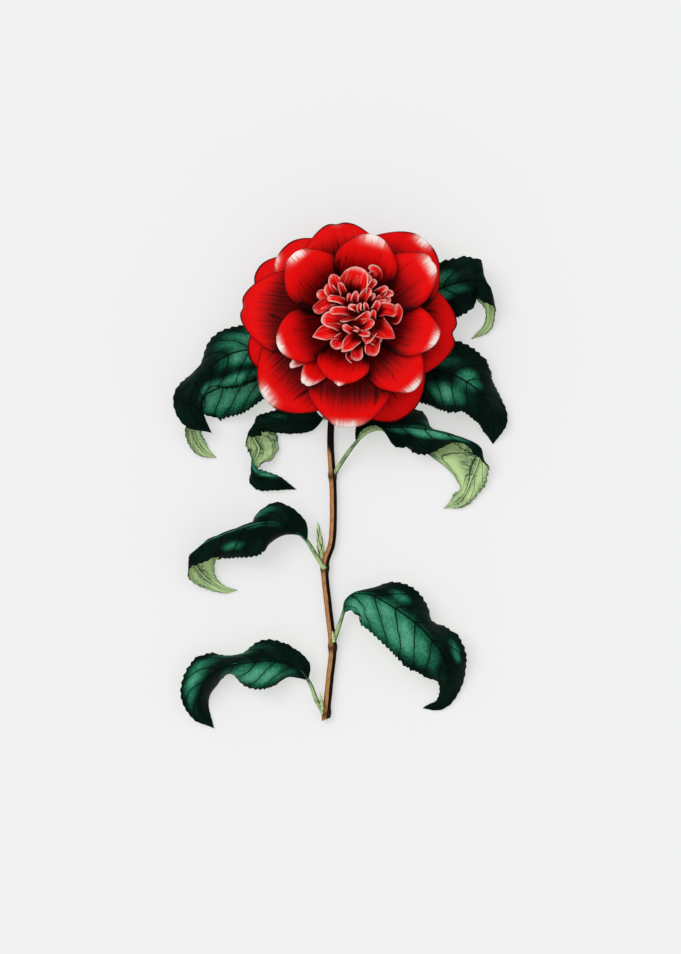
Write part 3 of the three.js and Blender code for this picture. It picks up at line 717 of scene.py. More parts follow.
def make_leaf(name, settings):
    """A leaf's toothed, quilted blade, and its petiole with the midrib."""
    *halves, widest, petiole = LEAVES[name]
    at = LeafCourse(LEAF_COURSES[name]).at
    teeth = settings.teeth
    thickness = settings.leaf_thickness / MM
    rows = {}

    def row(v):
        key = round(v, 6)
        if key not in rows:
            rows[key] = at(petiole + (1 - petiole) * v)
        return rows[key]

    def place(u, v):
        spot, right, up, bends, spreads = row(v)
        side, hand = (0, -1) if u < 0 else (1, 1)
        t = abs(u)
        out, rise = bent_half(bends[side], t)
        saw = (v * teeth) % 1 - 0.5
        tooth = (TOOTH_MEAN + TOOTH * saw) * math.sin(math.pi * v) * smooth(t, 0.93, 1)
        width = spreads[side] * halves[side] * leaf_outline(v, widest) + tooth
        slope = math.radians(bends[side]) * (0.6 + 0.8 * t)
        face = up * math.cos(slope) - right * hand * math.sin(slope)
        quilt = abs(math.sin(math.pi * vein_count(u, v))) ** 0.7
        swell = QUILT * (quilt - 0.6) * smooth(t, 0, 0.2) * smooth(t, 1, 0.8) * math.sin(math.pi * v)
        swell -= 0.3 * smooth(t, 0.09, 0)
        spot = spot + right * hand * width * out + up * width * rise + face * swell
        return rest_on_table(spot, thickness / 2 + LEAF_CLEARANCE)

    def tone(u, v):
        # Painted highlight from the sheen patches, and how far it dims towards the margin.
        sheen = sum(k * hump(u, a, wide) * hump(v, b, length) for a, b, wide, length, k in SHEEN[name])
        return min(1, sheen), smooth(abs(u), 0.55, 1), 0

    blade = walled(sheet(26, 3 * teeth, place, name + "_blade", tone), thickness, back=1)

    def rib_place(angle, s):
        spot, right, up, _, _ = at(RIB_END * s)
        in_blade = smooth(RIB_END * s, 0.3 * petiole, 1.6 * petiole)
        radius = PETIOLE_RADIUS - 0.45 * in_blade - 0.38 * smooth(s, 0.2, 1)
        base = 0.35 * smooth(s, 0.035, 0)
        centre = rest_on_table(spot - up * in_blade * (radius + LEAF_CLEARANCE), radius)
        return centre + (right * math.cos(angle) - up * math.sin(angle)) * (radius + base)

    def rib_tone(angle, s):
        return smooth(math.sin(angle), -0.1, 0.5), smooth(RIB_END * s, 0.5 * petiole, 1.3 * petiole), 0

    rib = tube(12, 150, rib_place, name + "_rib", rib_tone)
    return blade, rib


def vein_distance(paint, side, along, scale, sway):
    """0 on a side vein and 0.5 midway between two of them."""
    wander = (paint.object_noise(scale) - 0.5) * sway
    return (along * VEINS - side**VEIN_BOW * VEIN_SWEEP + wander).math("PINGPONG", 0.5)


def leaf_face(settings):
    top = Paint("leaf face")
    across, along = top.place()
    sheen, margin, _ = top.tones()
    side = abs(across)
    near = vein_distance(top, side, along, 120.0, 0.3)
    vein = (1 - top.fade(near, 0.02, 0.06)) * top.fade(side, 1.0, 0.75)
    midrib = 1 - top.fade(side, 0.015, 0.045)
    patch = top.fade(top.object_noise(90.0, 2.0), 0.4, 0.62)
    fine = top.fade(top.noise(across * 9, along * 45, scale=1.3, detail=3.0), 0.35, 0.75)
    cells = top.fade(near, 0.05, 0.45)
    # Painted highlight: the sheen patches, brighter between the side veins and dimmer towards the margin,
    # lift the near-black face through leaf green to the palest sheen. The near-black elsewhere is partly
    # the leaf's own dark green and partly painted shade.
    lit = sheen * (0.8 + patch * 0.2) * (0.7 + fine * 0.3) * (0.75 + cells * 0.25) * (1 - margin * 0.4)
    base = top.coats(
        settings.leaf_deep,
        (patch * 0.04 + 0.02, settings.leaf_green),
        (top.fade(lit, 0.08, 0.5), settings.leaf_green),
        (top.fade(lit, 0.3, 0.95), settings.painted_leaf_sheen),
        (vein * 0.95, settings.leaf_deep),
        (midrib * 0.9, settings.leaf_deep),
    )
    top.set(Base_Color=base, Roughness=0.5, Specular_IOR_Level=0.03)
    top.bump(fine * 0.5 - vein - midrib, 0.0001, 0.6)
    return top.material


def leaf_underside(settings):
    under = Paint("leaf underside")
    across, along = under.place()
    side = abs(across)
    near = vein_distance(under, side, along, 160.0, 0.4)
    vein = (1 - under.fade(near, 0.02, 0.06)) * under.fade(side, 1.0, 0.8)
    beside = 1 - under.fade(abs(side - 0.075), 0.006, 0.03)
    # Painted shade on the underside: darker beside the midrib and towards the margins, hatched, over
    # random darker patches.
    shade = under.fade(under.object_noise(70.0, 3.0), 0.42, 0.6) * 0.5
    shade = shade + under.fade(side, 0.4, 0.1) * 0.8 + under.fade(side, 0.5, 0.95) * 0.8
    hatch = under.fade(under.noise(across * 5, along * 70, scale=1.4, detail=2.0), 0.38, 0.6)
    tooth = under.fade(side, 0.9, 1.0)
    base = under.coats(
        settings.leaf_pale,
        (shade * (0.35 + hatch * 0.6), settings.leaf_grey),
        (vein * 0.75, settings.leaf_deep),
        (tooth * 0.3, settings.leaf_grey),
        (beside * 0.9, settings.leaf_deep),
    )
    under.set(Base_Color=base, Roughness=0.6, Specular_IOR_Level=0.3)
    under.bump(vein + hatch * 0.3, 0.0001, 0.5)
    return under.material


def leaf_rib(settings):
    rib = Paint("petiole")
    below, in_blade, _ = rib.tones()
    flank = rib.fade(abs(rib.place()[0]), 0.38, 0.28)
    dapple = rib.fade(rib.object_noise(400.0), 0.45, 0.65)
    stalk = rib.mix(dapple * 0.5 + 0.25, settings.leaf_pale, settings.leaf_grey)
    # Painted shade on the petiole's underside and on one flank.
    stalk = rib.mix(below * 0.7 + flank * 0.7, stalk, settings.leaf_deep)
    above = rib.mix(dapple * 0.6, settings.leaf_green, settings.leaf_deep)
    buried = rib.mix(below, above, settings.leaf_pale)
    return rib.set(Base_Color=rib.mix(in_blade, stalk, buried), Roughness=0.5, Specular_IOR_Level=0.08)


class CAMELLIA_OT_leaves(bpy.types.Operator):
    """Build the nine leaves with their petioles"""

    bl_idname = "camellia.leaves"
    bl_label = "Build Leaves"

    def execute(self, context):
        settings = context.scene.camellia_foliage
        top, under, stalk = leaf_face(settings), leaf_underside(settings), leaf_rib(settings)
        for name in LEAVES:
            blade, rib = make_leaf(name, settings)
            settle(blade, name, "leaf", top, under)
            settle(rib, name, "leaf", stalk)
        return {"FINISHED"}


# ---- Buds and calyx --------------------------------------------------------------------------

SCALE_THICKNESS = 0.12
SPIRAL = math.radians(137.5)  # from one scale to the next on a bud with many
# Each bud: base, tip, radius, and how many scales it shows.
BUDS = {
    "bud_upper": ((-13, -105, 1.7), (-15.3, -86, 2.2), 1.35, 12),
    "bud_axil": ((-7.7, -141.6, 6), (-8.4, -136.4, 6.4), 1, 5),
    "bud_lower": ((-13, -173, 5.1), (-14, -164.8, 6.8), 0.9, 5),
}


def make_bud(name, base, tip, radius, scales):
    """A spindle wrapped in pointed scales that overlap towards the tip."""
    base, tip = Vector(base), Vector(tip)
    ahead = (tip - base).normalized()
    side = (Vector((0, 0, 1)) - ahead.z * ahead).normalized()
    other = ahead.cross(side)
    length = (tip - base).length

    def outline(s):
        return radius * (0.12 + 0.88 * math.sin(math.pi * (0.08 + 0.9 * s) ** 0.62) ** 0.8)

    def spot(angle, s, lift):
        around = side * math.cos(angle) + other * math.sin(angle)
        return base + ahead * length * s + around * outline(s) * lift

    def core(angle, s):
        return spot(angle, s, 0.85)

    parts = [tube(16, 24, core, name, lambda angle, s: (0.4, 0, 0))]
    for index in range(scales):
        turn = index * (SPIRAL if scales > 5 else math.pi)
        start = 0.62 * index / scales
        reach = 0.34 if index < scales - 1 else 0.38

        def scale(u, v, turn=turn, start=start, reach=reach):
            s = min(1, start + reach * v)
            angle = turn + u * 1.15 * (1 - v**1.8) ** 0.8
            lift = 0.95 + 0.16 * math.sin(math.pi * v) ** 0.5 - 0.1 * u * u + 0.32 * v * v
            return spot(angle, s, lift)

        blade = sheet(8, 10, scale, name, lambda u, v: (v, abs(u), 0))
        parts.append(baked(walled(blade, SCALE_THICKNESS)))
    return joined(parts, name)


def bud_material(settings):
    paint = Paint("bud scales")
    along, aside, _ = paint.tones()
    streak = paint.fade(paint.object_noise(1500.0), 0.5, 0.7)
    base = paint.coats(
        settings.bud_green,
        (streak * 0.35, settings.leaf_grey),
        (paint.fade(along, 0.25, 0.0) * 0.7, settings.leaf_grey),
        (paint.fade(aside + along * 0.25, 0.6, 0.95) * 0.9, settings.leaf_deep),
        (paint.fade(along, 0.85, 1.0) * 0.5, settings.bud_tip),
    )
    return paint.set(Base_Color=base, Roughness=0.5)


class CAMELLIA_OT_buds(bpy.types.Operator):
    """Build the three scaly leaf buds"""

    bl_idname = "camellia.buds"
    bl_label = "Build Buds"

    def execute(self, context):
        material = bud_material(context.scene.camellia_foliage)
        for name, (base, tip, radius, scales) in BUDS.items():
            settle(make_bud(name + "_scales", base, tip, radius, scales), name, "bud", material)
        return {"FINISHED"}


SEPALS = 7
SEPAL_WIDTH = 9.5
SEPAL_LENGTH = 9
SEPAL_ROOT = 2.2  # how far from the axis a sepal starts
SEPAL_THICKNESS = 0.6
CUP_PROFILE = ((2.3, 0), (4.2, 1.4), (4.4, 2.4), (4.5, 3.1))


def make_sepal(index):
    """A sepal, in turn below and above its neighbours."""
    turn = 2 * math.pi * index / SEPALS
    layer = index % 2

    def place(u, v):
        opening = 0.45 + 0.55 * math.sin(math.pi / 2 * min(1, v / 0.6))
        aside = u * SEPAL_WIDTH / 2 * opening
        out = SEPAL_ROOT + (SEPAL_LENGTH - 1.2 * layer) * (v - 0.3 * u * u * v * v)
        z = CALYX_BOTTOM + 0.6 + 0.4 * layer + 0.19 * math.hypot(out, aside) + 0.12 * u * u
        return round_bloom(turn, out, aside, z)

    return baked(walled(sheet(16, 16, place, "sepal", lambda u, v: (v, abs(u), 0)), SEPAL_THICKNESS))


def sepal_material(settings):
    paint = Paint("sepals")
    along, aside, _ = paint.tones()
    silk = paint.fade(paint.object_noise(900.0), 0.4, 0.7)
    base = paint.coats(
        settings.leaf_grey,
        (silk * 0.5, settings.bud_green),
        (paint.fade(along, 0.7, 1.0) * 0.6, settings.sepal_edge),
        (paint.fade(aside, 0.75, 1.0) * 0.4, settings.sepal_edge),
    )
    return paint.set(Base_Color=base, Roughness=0.6)


class CAMELLIA_OT_calyx(bpy.types.Operator):
    """Build the calyx of overlapping sepals"""

    bl_idname = "camellia.calyx"
    bl_label = "Build Calyx"

    def execute(self, context):
        cup = turned([(radius, CALYX_BOTTOM + rise) for radius, rise in CUP_PROFILE])
        parts = [tube(32, 12, cup, "calyx_cup", lambda angle, s: (0.5, 0, 0))]
        parts += [make_sepal(index) for index in range(SEPALS)]
        calyx = joined(parts, "calyx_sepals")
        settle(calyx, "calyx", "sepal", sepal_material(context.scene.camellia_foliage))
        return {"FINISHED"}


# ---- Petals ----------------------------------------------------------------------------------

# Each petal: azimuth, reach, width, level of its root, depth of its notch, then its cream tip:
# strength, how far to the side, how wide, where along the petal it starts; last its middle crease.
PETALS = {
    "petal_middle_a": (76, 39.4, 29, 8, 0, 1, 0.05, 0.4, 0.78, 0),
    "petal_middle_e": (-101.6, 29.4, 24.2, 8, -1, 0.9, 0, 0.16, 0.9, 0),
    "petal_middle_b": (36.5, 45.6, 26, 7, 0.6, 1, 0.08, 0.42, 0.8, 0.3),
    "petal_middle_g": (133, 40, 27.4, 7, 0, 1, 0.1, 0.35, 0.82, 0),
    "petal_middle_c": (-9.5, 40.2, 23.6, 6, 0, 1, 0.22, 0.4, 0.84, 0),
    "petal_middle_f": (-162.5, 35.6, 24.6, 6, 0, 1, -0.1, 0.38, 0.84, 0),
    "petal_middle_d": (-45, 42, 26.7, 5, 0, 1, 0.08, 0.36, 0.86, 0),
    "petal_middle_h": (-127, 36.2, 13, 5, 0.4, 1, 0, 0.7, 0.82, 0),
    "petal_middle_i": (-143.5, 35, 6.5, 4, 0, 1, 0.2, 0.9, 0.82, 0),
    "petal_outer_1": (99, 45.6, 37, 4, 0.8, 0.2, 0, 0.2, 0.9, 0.8),
    "petal_outer_2": (46.5, 50.3, 40, 3, 0, 1, -0.1, 0.22, 0.86, 0),
    "petal_outer_3": (-6, 48.6, 42, 1, 2.2, 0, 0, 0.2, 0.9, 0.8),
    "petal_outer_4": (-61, 49.4, 39, 0, 0, 0, 0, 0.2, 0.9, 0),
    "petal_outer_5": (-92.5, 48.2, 37.7, 4, 0, 0.95, 0, 0.36, 0.87, 0.5),
    "petal_outer_6": (-137, 53, 41, 2, 0, 0.9, 0.1, 0.28, 0.84, 0),
    "petal_outer_7": (-163, 49.6, 32, 1, 0, 0, 0, 0.2, 0.9, 0),
    "petal_outer_8": (172, 51.6, 37, 3, 1.4, 0.15, 0, 0.3, 0.95, 0.8),
    "petal_outer_9": (150, 50, 30, 0, 0, 0, 0, 0.2, 0.9, 0),
    "petal_outer_10": (131, 46.4, 34, 2, 0, 0.6, -0.45, 0.2, 0.86, 0),
}


def level_height(level, radius):
    """Height of a petal that starts at a level, as far out as a radius."""
    s = (radius - PETAL_ROOT_RADIUS) / PETAL_SPAN
    rise = (0.45 + 0.081 * level) * s - (0.475 + 0.032 * level) * s * s
    return ROOT_HEIGHT + LEVEL_STEP * level + PETAL_SPAN * rise


def petal_outline(v):
    """Width of a petal, as a share of its largest."""
    opening = math.sin(math.pi / 2 * min(1, v / 0.62)) ** 1.1
    return (0.25 + 0.75 * opening) * (1 - 0.05 * smooth(v, 0.8, 1))


def make_petal(name, row, thickness):
    """A broad petal: cupped, softly folded, with its edge rolled down."""
    azimuth, reach, width, level, notch, cream, aside_cream, cream_width, cream_start, crease = row
    turn = math.radians(azimuth)
    length = reach - PETAL_ROOT_RADIUS
    seed = azimuth * 0.37
    shaded_to, shaded_from = (0.95, 0.6) if "outer" in name else (0.9, 0.4)

    def place(u, v):
        aside = u * width / 2 * petal_outline(v)
        claw = math.sqrt(max(0, PETAL_ROOT_RADIUS**2 - aside**2))
        root = claw + (PETAL_ROOT_RADIUS - claw) * smooth(v, 0, 0.3)
        bay = 0.32 * abs(u) ** 2.3 * v * v
        dent = notch * hump(u, 0, 0.14) * v**6
        wave = 0.5 * noise.noise(Vector((u * 1.7, seed, 3))) * v**4
        out = root + length * (v - bay) - dent + wave
        cup = (0.9 * u * u - 0.3) * math.sin(math.pi * min(1, v * 1.1))
        fold = 0.34 * noise.noise(Vector((u * 5.5, v * 0.9, seed))) * smooth(v, 0.02, 0.3)
        fold += 0.12 * noise.noise(Vector((u * 17, v * 1.5, seed))) * smooth(v, 0, 0.25)
        fold -= 0.3 * crease * hump(u, 0, 0.06) * smooth(v, 0.2, 0.6)
        fold -= 0.5 * smooth(max(abs(u), v), 0.9, 1) * smooth(v, 0.3, 0.6)
        return round_bloom(turn, out, aside, level_height(level, math.hypot(out, aside)) + cup + fold)

    # Cream tip; painted shade towards the root, where upper petals lie over this one; painted shade along
    # the middle crease.
    def tone(u, v):
        far = max(v, 0.6 * v + 0.4 * abs(u) * v)
        pale = cream * hump(u, aside_cream, cream_width) * smooth(far, cream_start, 0.99)
        return pale, smooth(v, shaded_to, shaded_from), crease * 0.8 * hump(u, 0, 0.03) * smooth(v, 1, 0.4)

    return walled(sheet(40, 40, place, name + "_blade", tone), thickness)


def petal_material(settings, rims):
    """Red with dark lines and painted shade: on petals with a painted shadow line along the edge and a
    cream tip, on petaloids with a pink rim that is partly painted highlight.
    """
    paint = Paint("petaloid" if rims else "petal")
    across, along = paint.place()
    pale, dark, crease = paint.tones()
    side = abs(across)
    drift = paint.object_noise(22.0, 0.0)
    sway = paint.noise(across * 4, along * 0.9, drift * 6, scale=1.0, detail=0.5) - 0.5
    reach = paint.noise(across * 13, along * 0.7, drift * 3, scale=1.0, detail=1.0) - 0.5
    bold = (across * (3 if rims else 6.5) + sway * 3).math("PINGPONG", 0.5)
    thin = (across * (8 if rims else 15) + sway * 6).math("PINGPONG", 0.5)
    line = (1 - paint.fade(bold - dark * 0.06, 0.0, 0.05)) * paint.fade(dark + reach * 4, 0.2, 0.6)
    hair = (1 - paint.fade(thin - dark * 0.08, 0.0, 0.14)) * paint.fade(dark + reach * 2, 0.2, 0.8)
    rim = paint.fade(side, 0.95, 0.985) + paint.fade(along, 0.972, 0.99)
    painted_edge_shade = paint.fade(side, 0.7, 1.0) * 0.42 + paint.fade(along, 0.86, 1.0) * 0.2
    # Painted shade: deep red towards the root (dark), along the sides and the far end (painted_edge_shade)
    # and in the middle crease; the dark lines deepen inside it.
    base = paint.coats(
        settings.petal_red,
        (dark**1.5 * 0.85 + painted_edge_shade, settings.petal_deep),
        (line * (0.3 + dark * 0.65), settings.petal_deep),
        (hair * (0.1 + dark * 0.4), settings.petal_deep),
        (crease * 0.8, settings.petal_deep),
    )
    # A painted shadow line along a petal's edge.
    if not rims:
        base = paint.mix(rim * 0.9, base, settings.petal_deep)
    ragged = pale + (reach * 3 + (thin - 0.25) * 0.5) * pale * (1.15 - pale)
    pink = tuple(0.5 * (one + other) for one, other in zip(settings.petal_red, settings.rim_pink))
    base = paint.mix(paint.fade(pale, 0.01, 0.55) * 0.7, base, pink)
    if rims:
        base = paint.mix(paint.fade(reach, 0.02, 0.16) * (1 - dark) * 0.3, base, pink)
    tip = settings.rim_pink if rims else settings.tip_cream
    base = paint.mix(paint.fade(ragged, 0.22, 0.95), base, tip)
    paint.bump(bold + thin * 0.4, 0.0002, 0.5)
    return paint.set(Base_Color=base, Roughness=0.55, Specular_IOR_Level=0.05)


class CAMELLIA_OT_petals(bpy.types.Operator):
    """Build the broad outer and middle petals"""

    bl_idname = "camellia.petals"
    bl_label = "Build Petals"

    def execute(self, context):
        settings = context.scene.camellia_bloom
        material = petal_material(settings, rims=False)
        for name, row in PETALS.items():
            settle(make_petal(name, row, settings.petal_thickness / MM), name, "petal", material)
        return {"FINISHED"}


# ---- Heart -----------------------------------------------------------------------------------

# Petaloids: width, how far the left and the right edge bend up, which way they lean, how rounded the
# tip is, then the midline from root to tip: x, y from the bloom's axis, and height.
PETALOIDS = [
    (12.2, 15, 35, 0, 2.4, (-0.2, 11.2, 34), (1.4, 17, 43.6), (3.4, 23.4, 43.2)),
    (6.8, 0, 40, 10, 2.4, (1.4, 11.3, 36), (4.1, 15.5, 43.9), (7.7, 20.2, 43.5)),
    (4, 0, 40, 10, 2.4, (4.2, 12.1, 35), (7.3, 14.7, 42.6), (10.7, 17.9, 42)),
    (4, 20, 20, 0, 2.4, (6.7, 16.5, 34), (9.1, 20.2, 38), (9.4, 22.5, 39.6)),
    (3.2, 50, 30, 20, 2.4, (10.1, 16.9, 39), (12.1, 19.5, 42), (10.7, 22.5, 43), (7.3, 23.4, 43)),
    (5, 20, 20, -10, 2.4, (-4.9, 10.9, 35), (-7.3, 15.5, 41), (-9, 20.3, 42)),
    (3.6, 30, 0, -30, 2.4, (-3.1, 9.7, 38), (-4.6, 13.1, 43), (-5.8, 16.3, 45)),
    (4.6, 20, 20, 10, 2.4, (-6.4, 9.8, 36), (-9.6, 12.9, 41), (-11.7, 15.8, 41)),
    (4.2, 20, 30, 0, 2.4, (-6.1, 9.6, 35), (-11.1, 11.1, 39), (-16.1, 11.7, 38)),
    (2.8, 10, 50, -30, 2.4, (-0.4, 6.4, 38), (-5.4, 8.6, 43), (-11.2, 9.8, 42)),
    (4.6, 0, 40, 0, 2.4, (-2.9, 7.1, 35), (-10.9, 7.9, 40), (-17.2, 3.8, 36)),
    (3, 0, 30, 30, 2.4, (-3.4, 6.2, 34), (-8.9, 5.6, 38), (-14.3, 4.2, 37)),
    (3.2, 0, 40, -30, 2.4, (2.6, 2.8, 39), (-3.9, 3.9, 44), (-10.2, 4, 43)),
    (6.6, 20, 20, -10, 2.4, (-1.4, -3.5, 36), (-7.9, -0.5, 41), (-14, 0.4, 41)),
    (6.8, 30, 40, 0, 1.15, (-0.4, -5.7, 35), (-9.4, -5.1, 40), (-18.1, -7.5, 37)),
    (5, 20, 20, 10, 2.4, (-1.4, -6.6, 34), (-5.9, -9.4, 39), (-8.7, -12.7, 37)),
    (6, 40, 30, 0, 1.15, (3.2, -6.3, 36), (-0.4, -10, 41), (-5, -14.5, 38)),
    (4.6, 20, 20, 0, 2.4, (2.2, -9.6, 33), (2.1, -13.8, 37), (2.3, -18.4, 35)),
    (3, 20, 50, 20, 2.4, (0.2, -12.5, 31), (-1.8, -16.2, 34), (0.8, -19.3, 33)),
    (6.4, 35, 35, 0, 2.4, (8.9, -7.6, 34), (9.1, -11.9, 38), (8.3, -16, 36)),
    (7, 30, 30, 0, 1.15, (7.4, -5.4, 38), (6.9, -8.3, 42), (6.3, -11.2, 41)),
    (8.8, 40, 20, 0, 1.15, (9.7, -0.7, 36), (14.1, -4.5, 40), (19.5, -8.3, 38)),
    (5.4, 40, 40, 0, 2.4, (2.9, -3, 41), (6.1, -2.3, 44), (9.8, -1.1, 45.5)),
    (4, 40, 10, -20, 2.4, (1.6, -2.8, 41), (3.6, -0.3, 45), (7.8, 3.2, 46)),
    (2.8, 30, 30, 0, 2.4, (2.1, -6.3, 41), (-1.4, -4.7, 45), (-4.3, -2.8, 45)),
    (2.4, 30, 30, 0, 2.4, (1.6, -5.1, 42), (4.6, -6.4, 46), (8.2, -6.8, 45)),
    (2, 40, 40, 0, 2.4, (0.1, -4.1, 43), (1.6, -4.6, 47), (3, -5.4, 46)),
    (3.2, 50, 20, 0, 2.4, (0.6, 6.5, 40), (1.1, 9.8, 44), (1.6, 12.3, 46)),
    (2.2, 30, 30, 0, 2.4, (-1.3, 6.6, 39), (-1.1, 9.3, 43), (-1.4, 11.6, 44)),
    (3.8, 30, 30, 0, 2.4, (3.6, 6.5, 40), (5.3, 10.3, 44), (8.2, 13.8, 45)),
    (2.4, 30, 30, 0, 2.4, (7.1, 8.1, 39), (8.6, 10.1, 43), (10.2, 11.6, 43)),
    (4.6, 50, 20, 0, 2.4, (9.7, 10.5, 37), (13.6, 13, 42), (15.7, 14.1, 42)),
    (3.4, 40, 30, 0, 2.4, (12.7, 11.2, 37), (15.6, 12, 41), (18.5, 11.4, 42)),
    (2.6, 40, 40, 10, 2.4, (10.7, 10.7, 37), (13.6, 13.4, 43), (16.2, 14.2, 43)),
    (3.2, 30, 40, 0, 2.4, (12.2, 7.5, 36), (14.6, 9, 40), (17.5, 8.3, 39)),
    (5.8, 20, 60, -10, 2.4, (10.2, 3.4, 38), (15.1, 4.3, 44), (19.9, 2.7, 42)),
    (4.4, 0, 50, 20, 2.4, (15.2, 1.2, 37), (19.6, 0, 40), (21.4, 3.3, 43), (20, 6.8, 44)),
    (2.4, 50, 40, 0, 2.4, (6.6, 3.4, 42), (6.1, 5.4, 46), (5.6, 7.3, 47)),
    (3.2, 50, 30, 0, 2.4, (9.6, 3.7, 41), (10.6, 5.7, 45), (11.6, 8.4, 45)),
    (2.6, 40, 30, 0, 2.4, (2.9, 4.2, 41), (0.6, 5.2, 45), (-1.9, 5.7, 45)),
    (2.2, 40, 40, 20, 2.4, (4.6, 3.4, 42), (3.1, 4.4, 46), (3.7, 7.1, 47)),
    (2.6, 40, 40, 0, 2.4, (9.1, -0.5, 41), (9.3, 1.8, 44), (9.7, 4.4, 44)),
    (5, 30, 30, 0, 2.4, (11.2, 4.3, 35), (13.1, 6.3, 39), (17.4, 6, 40)),
    (4, 30, 30, 0, 2.4, (8.2, 6.3, 36), (12.1, 8.5, 40), (14.6, 11, 40)),
    (6, 20, 20, 0, 2.4, (3.7, 4.9, 34), (-2.9, 2.6, 39), (-7.4, 1.7, 38)),
    (6, 20, 20, 0, 2.4, (6.2, -3.6, 34), (10.2, -7.8, 37), (13.2, -9.7, 35)),
]


CORE_PROFILE = (
    (0.02, CORE_BOTTOM),
    (5.2, CORE_BOTTOM),
    (CORE_RADIUS, CORE_BOTTOM + 1.2),
    (CORE_RADIUS, 30),
    (5.6, 33),
    (3, 35),
    (0.02, 35.6),
)


def make_petaloid(width, left, right, lean, roundness, *midline, thickness):
    """A narrow, curled petaloid along its midline."""
    course = Course(midline)
    length = course.lengths[-1]
    seed = midline[-1][0] * 0.7 + midline[-1][1]
    bay_depth = min(0.6, (0.55 if roundness > 2 else 1) * width / length)

    def place(u, v):
        bay = bay_depth * abs(u) ** roundness * v**1.5
        t = course.share(max(0, v - bay))
        ahead = course.heading(t)
        facing = Vector((0, 0, 1)) + 0.35 * Vector((-ahead.x, -ahead.y, 0))
        flat = ahead.cross(facing).normalized()
        lift = flat.cross(ahead)
        tilt = math.radians(lean) * smooth(v, 0, 0.8)
        side = flat * math.cos(tilt) + lift * math.sin(tilt)
        up = side.cross(ahead)
        half = 0.6 * width * (0.42 + 0.58 * math.sin(math.pi / 2 * min(1, v / 0.6)))
        out, rise = bent_half((left if u < 0 else right) * (0.4 + 0.6 * v), abs(u))
        crinkle = 0.16 * noise.noise(Vector((u * 4, v * 2.5, seed)))
        crinkle += 0.1 * noise.noise(Vector((u * 9, v * 3, seed)))
        flare = 0.5 * hump(v, 1, 0.16) * (1 - 0.6 * abs(u))
        spot = Vector(course.value(t)) + side * (-1 if u < 0 else 1) * half * out
        spot += up * (half * rise - 0.12 * width * (1 - u * u) * math.sin(math.pi * v) + crinkle - flare)
        return spot + Vector((*BLOOM_AXIS, 0))

    # Pale rim and tip, partly the petaloid's own paler edge and partly painted highlight; painted shade
    # towards the base and along the middle.
    def tone(u, v):
        inside = min(width / 2 * (1 - abs(u)), length * (1 - v))
        light = 0.35 + 0.65 * smooth(noise.noise(Vector((u * 1.2, v * 2, seed))), -0.3, 0.2)
        rim = 0.72 * light * smooth(inside, 0.3 + 0.4 * light, 0.05) * smooth(v, 0.25, 0.7)
        tip = 0.62 * light * smooth(length * (1 - v), min(3, 0.5 * length), 0)
        return min(1, rim + tip), smooth(v + 0.15 * abs(u), 0.85, 0.3), 0

    return baked(walled(sheet(18, 28, place, "petaloid", tone), thickness))


class CAMELLIA_OT_heart(bpy.types.Operator):
    """Build the heart: petaloids on their receptacle"""

    bl_idname = "camellia.heart"
    bl_label = "Build Heart"

    def execute(self, context):
        settings = context.scene.camellia_bloom
        # Painted shade: the receptacle, deep in the heart, takes the shadow red almost wholly.
        parts = [tube(32, 24, turned(CORE_PROFILE), "core", lambda angle, s: (0, 0.9, 0))]
        for row in PETALOIDS:
            parts.append(make_petaloid(*row, thickness=settings.petaloid_thickness / MM))
        heart = joined(parts, "heart_petaloids")
        settle(heart, "heart", "petaloid", petal_material(settings, rims=True))
        return {"FINISHED"}


# ---- Stage -----------------------------------------------------------------------------------

VIEW_CENTRE = (-4.65 * MM, -65.1 * MM)  # the camera stands above this spot
VIEW_HEIGHT = 443.6 * MM  # how much of the floor it sees, from top to bottom
LENS = 100
SENSOR = 36
FLOOR_REACH = 4  # metres from the middle of the floor to its edges
KEY_DIRECTION = Vector((0.5, -0.4, -1))
WHITE = (1, 1, 1, 1)


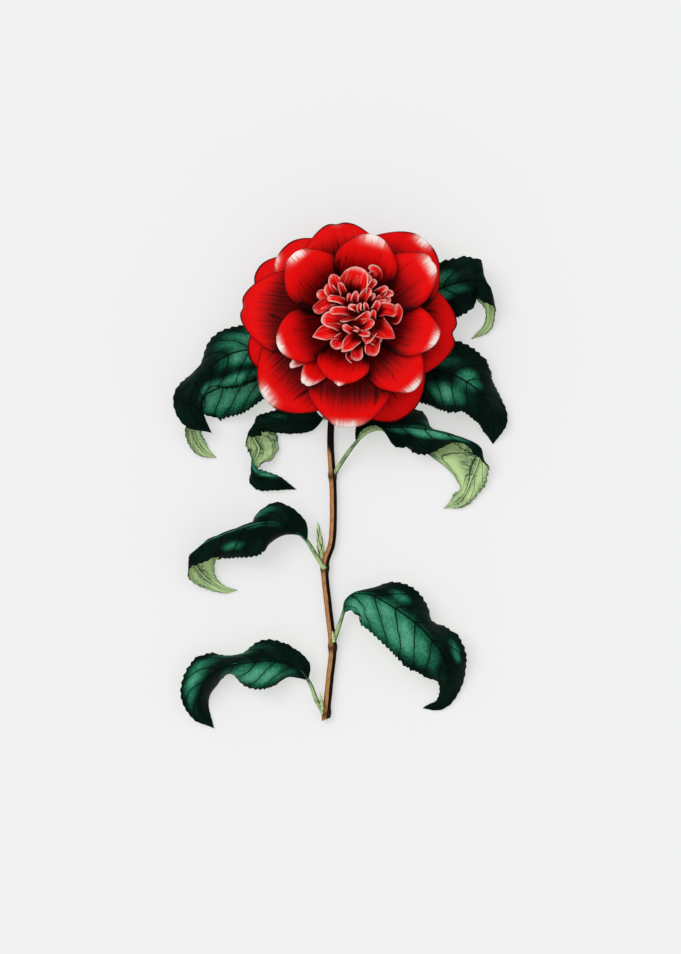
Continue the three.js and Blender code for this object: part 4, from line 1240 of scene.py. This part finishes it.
class CAMELLIA_OT_stage(bpy.types.Operator):
    """Build the floor, the lights and the camera above the sprig"""

    bl_idname = "camellia.stage"
    bl_label = "Build Stage"

    def execute(self, context):
        settings = context.scene.camellia_stage
        scene = context.scene
        bm = bmesh.new()
        bmesh.ops.create_grid(bm, x_segments=1, y_segments=1, size=FLOOR_REACH)
        floor = piece(bm, "floor")
        paint = Paint("floor")
        paint.set(Base_Color=settings.floor, Roughness=0.9, Specular_IOR_Level=0.1)
        paint.set(Emission_Color=WHITE, Emission_Strength=settings.floor_glow)
        floor.data.materials.append(paint.material)

        world = bpy.data.worlds.new("studio")
        world.use_nodes = True
        backdrop = world.node_tree.nodes["Background"]
        backdrop.inputs["Color"].default_value = WHITE
        backdrop.inputs["Strength"].default_value = settings.sky
        scene.world = world

        lamp = bpy.data.lights.new("key", "SUN")
        lamp.energy = settings.key_light
        lamp.angle = settings.key_softness
        key = bpy.data.objects.new("key", lamp)
        key.rotation_euler = KEY_DIRECTION.to_track_quat("-Z", "Y").to_euler()
        scene.collection.objects.link(key)

        lens = bpy.data.cameras.new("camera")
        lens.lens = LENS
        lens.sensor_width = SENSOR
        camera = bpy.data.objects.new("camera", lens)
        camera.location = (*VIEW_CENTRE, VIEW_HEIGHT * LENS / SENSOR)
        scene.collection.objects.link(camera)
        scene.camera = camera
        scene.view_settings.view_transform = "Standard"
        return {"FINISHED"}


# ---- Add-on ----------------------------------------------------------------------------------


class CAMELLIA_PT_panel(bpy.types.Panel):
    """Settings and steps of the camellia sprig"""

    bl_label = "Camellia Sprig"
    bl_space_type = "VIEW_3D"
    bl_region_type = "UI"
    bl_category = "Camellia"

    def draw(self, context):
        scene = context.scene
        for group, kind in GROUPS.items():
            box = self.layout.box()
            for name in kind.__annotations__:
                box.prop(getattr(scene, group), name)
        for operator in OPERATORS:
            self.layout.operator(operator.bl_idname)


GROUPS = {
    "camellia_bloom": CamelliaBloom,
    "camellia_foliage": CamelliaFoliage,
    "camellia_twig": CamelliaTwig,
    "camellia_stage": CamelliaStage,
}
OPERATORS = (
    CAMELLIA_OT_twig,
    CAMELLIA_OT_leaves,
    CAMELLIA_OT_buds,
    CAMELLIA_OT_calyx,
    CAMELLIA_OT_petals,
    CAMELLIA_OT_heart,
    CAMELLIA_OT_stage,
)


def register():
    for cls in (*GROUPS.values(), *OPERATORS, CAMELLIA_PT_panel):
        bpy.utils.register_class(cls)
    for name, group in GROUPS.items():
        setattr(bpy.types.Scene, name, PointerProperty(type=group))


def unregister():
    for name in GROUPS:
        delattr(bpy.types.Scene, name)
    for cls in (CAMELLIA_PT_panel, *OPERATORS, *reversed(GROUPS.values())):
        bpy.utils.unregister_class(cls)


def main():
    register()
    for operator in OPERATORS:
        family, name = operator.bl_idname.split(".")
        getattr(getattr(bpy.ops, family), name)()


if __name__ == "__main__":
    main()
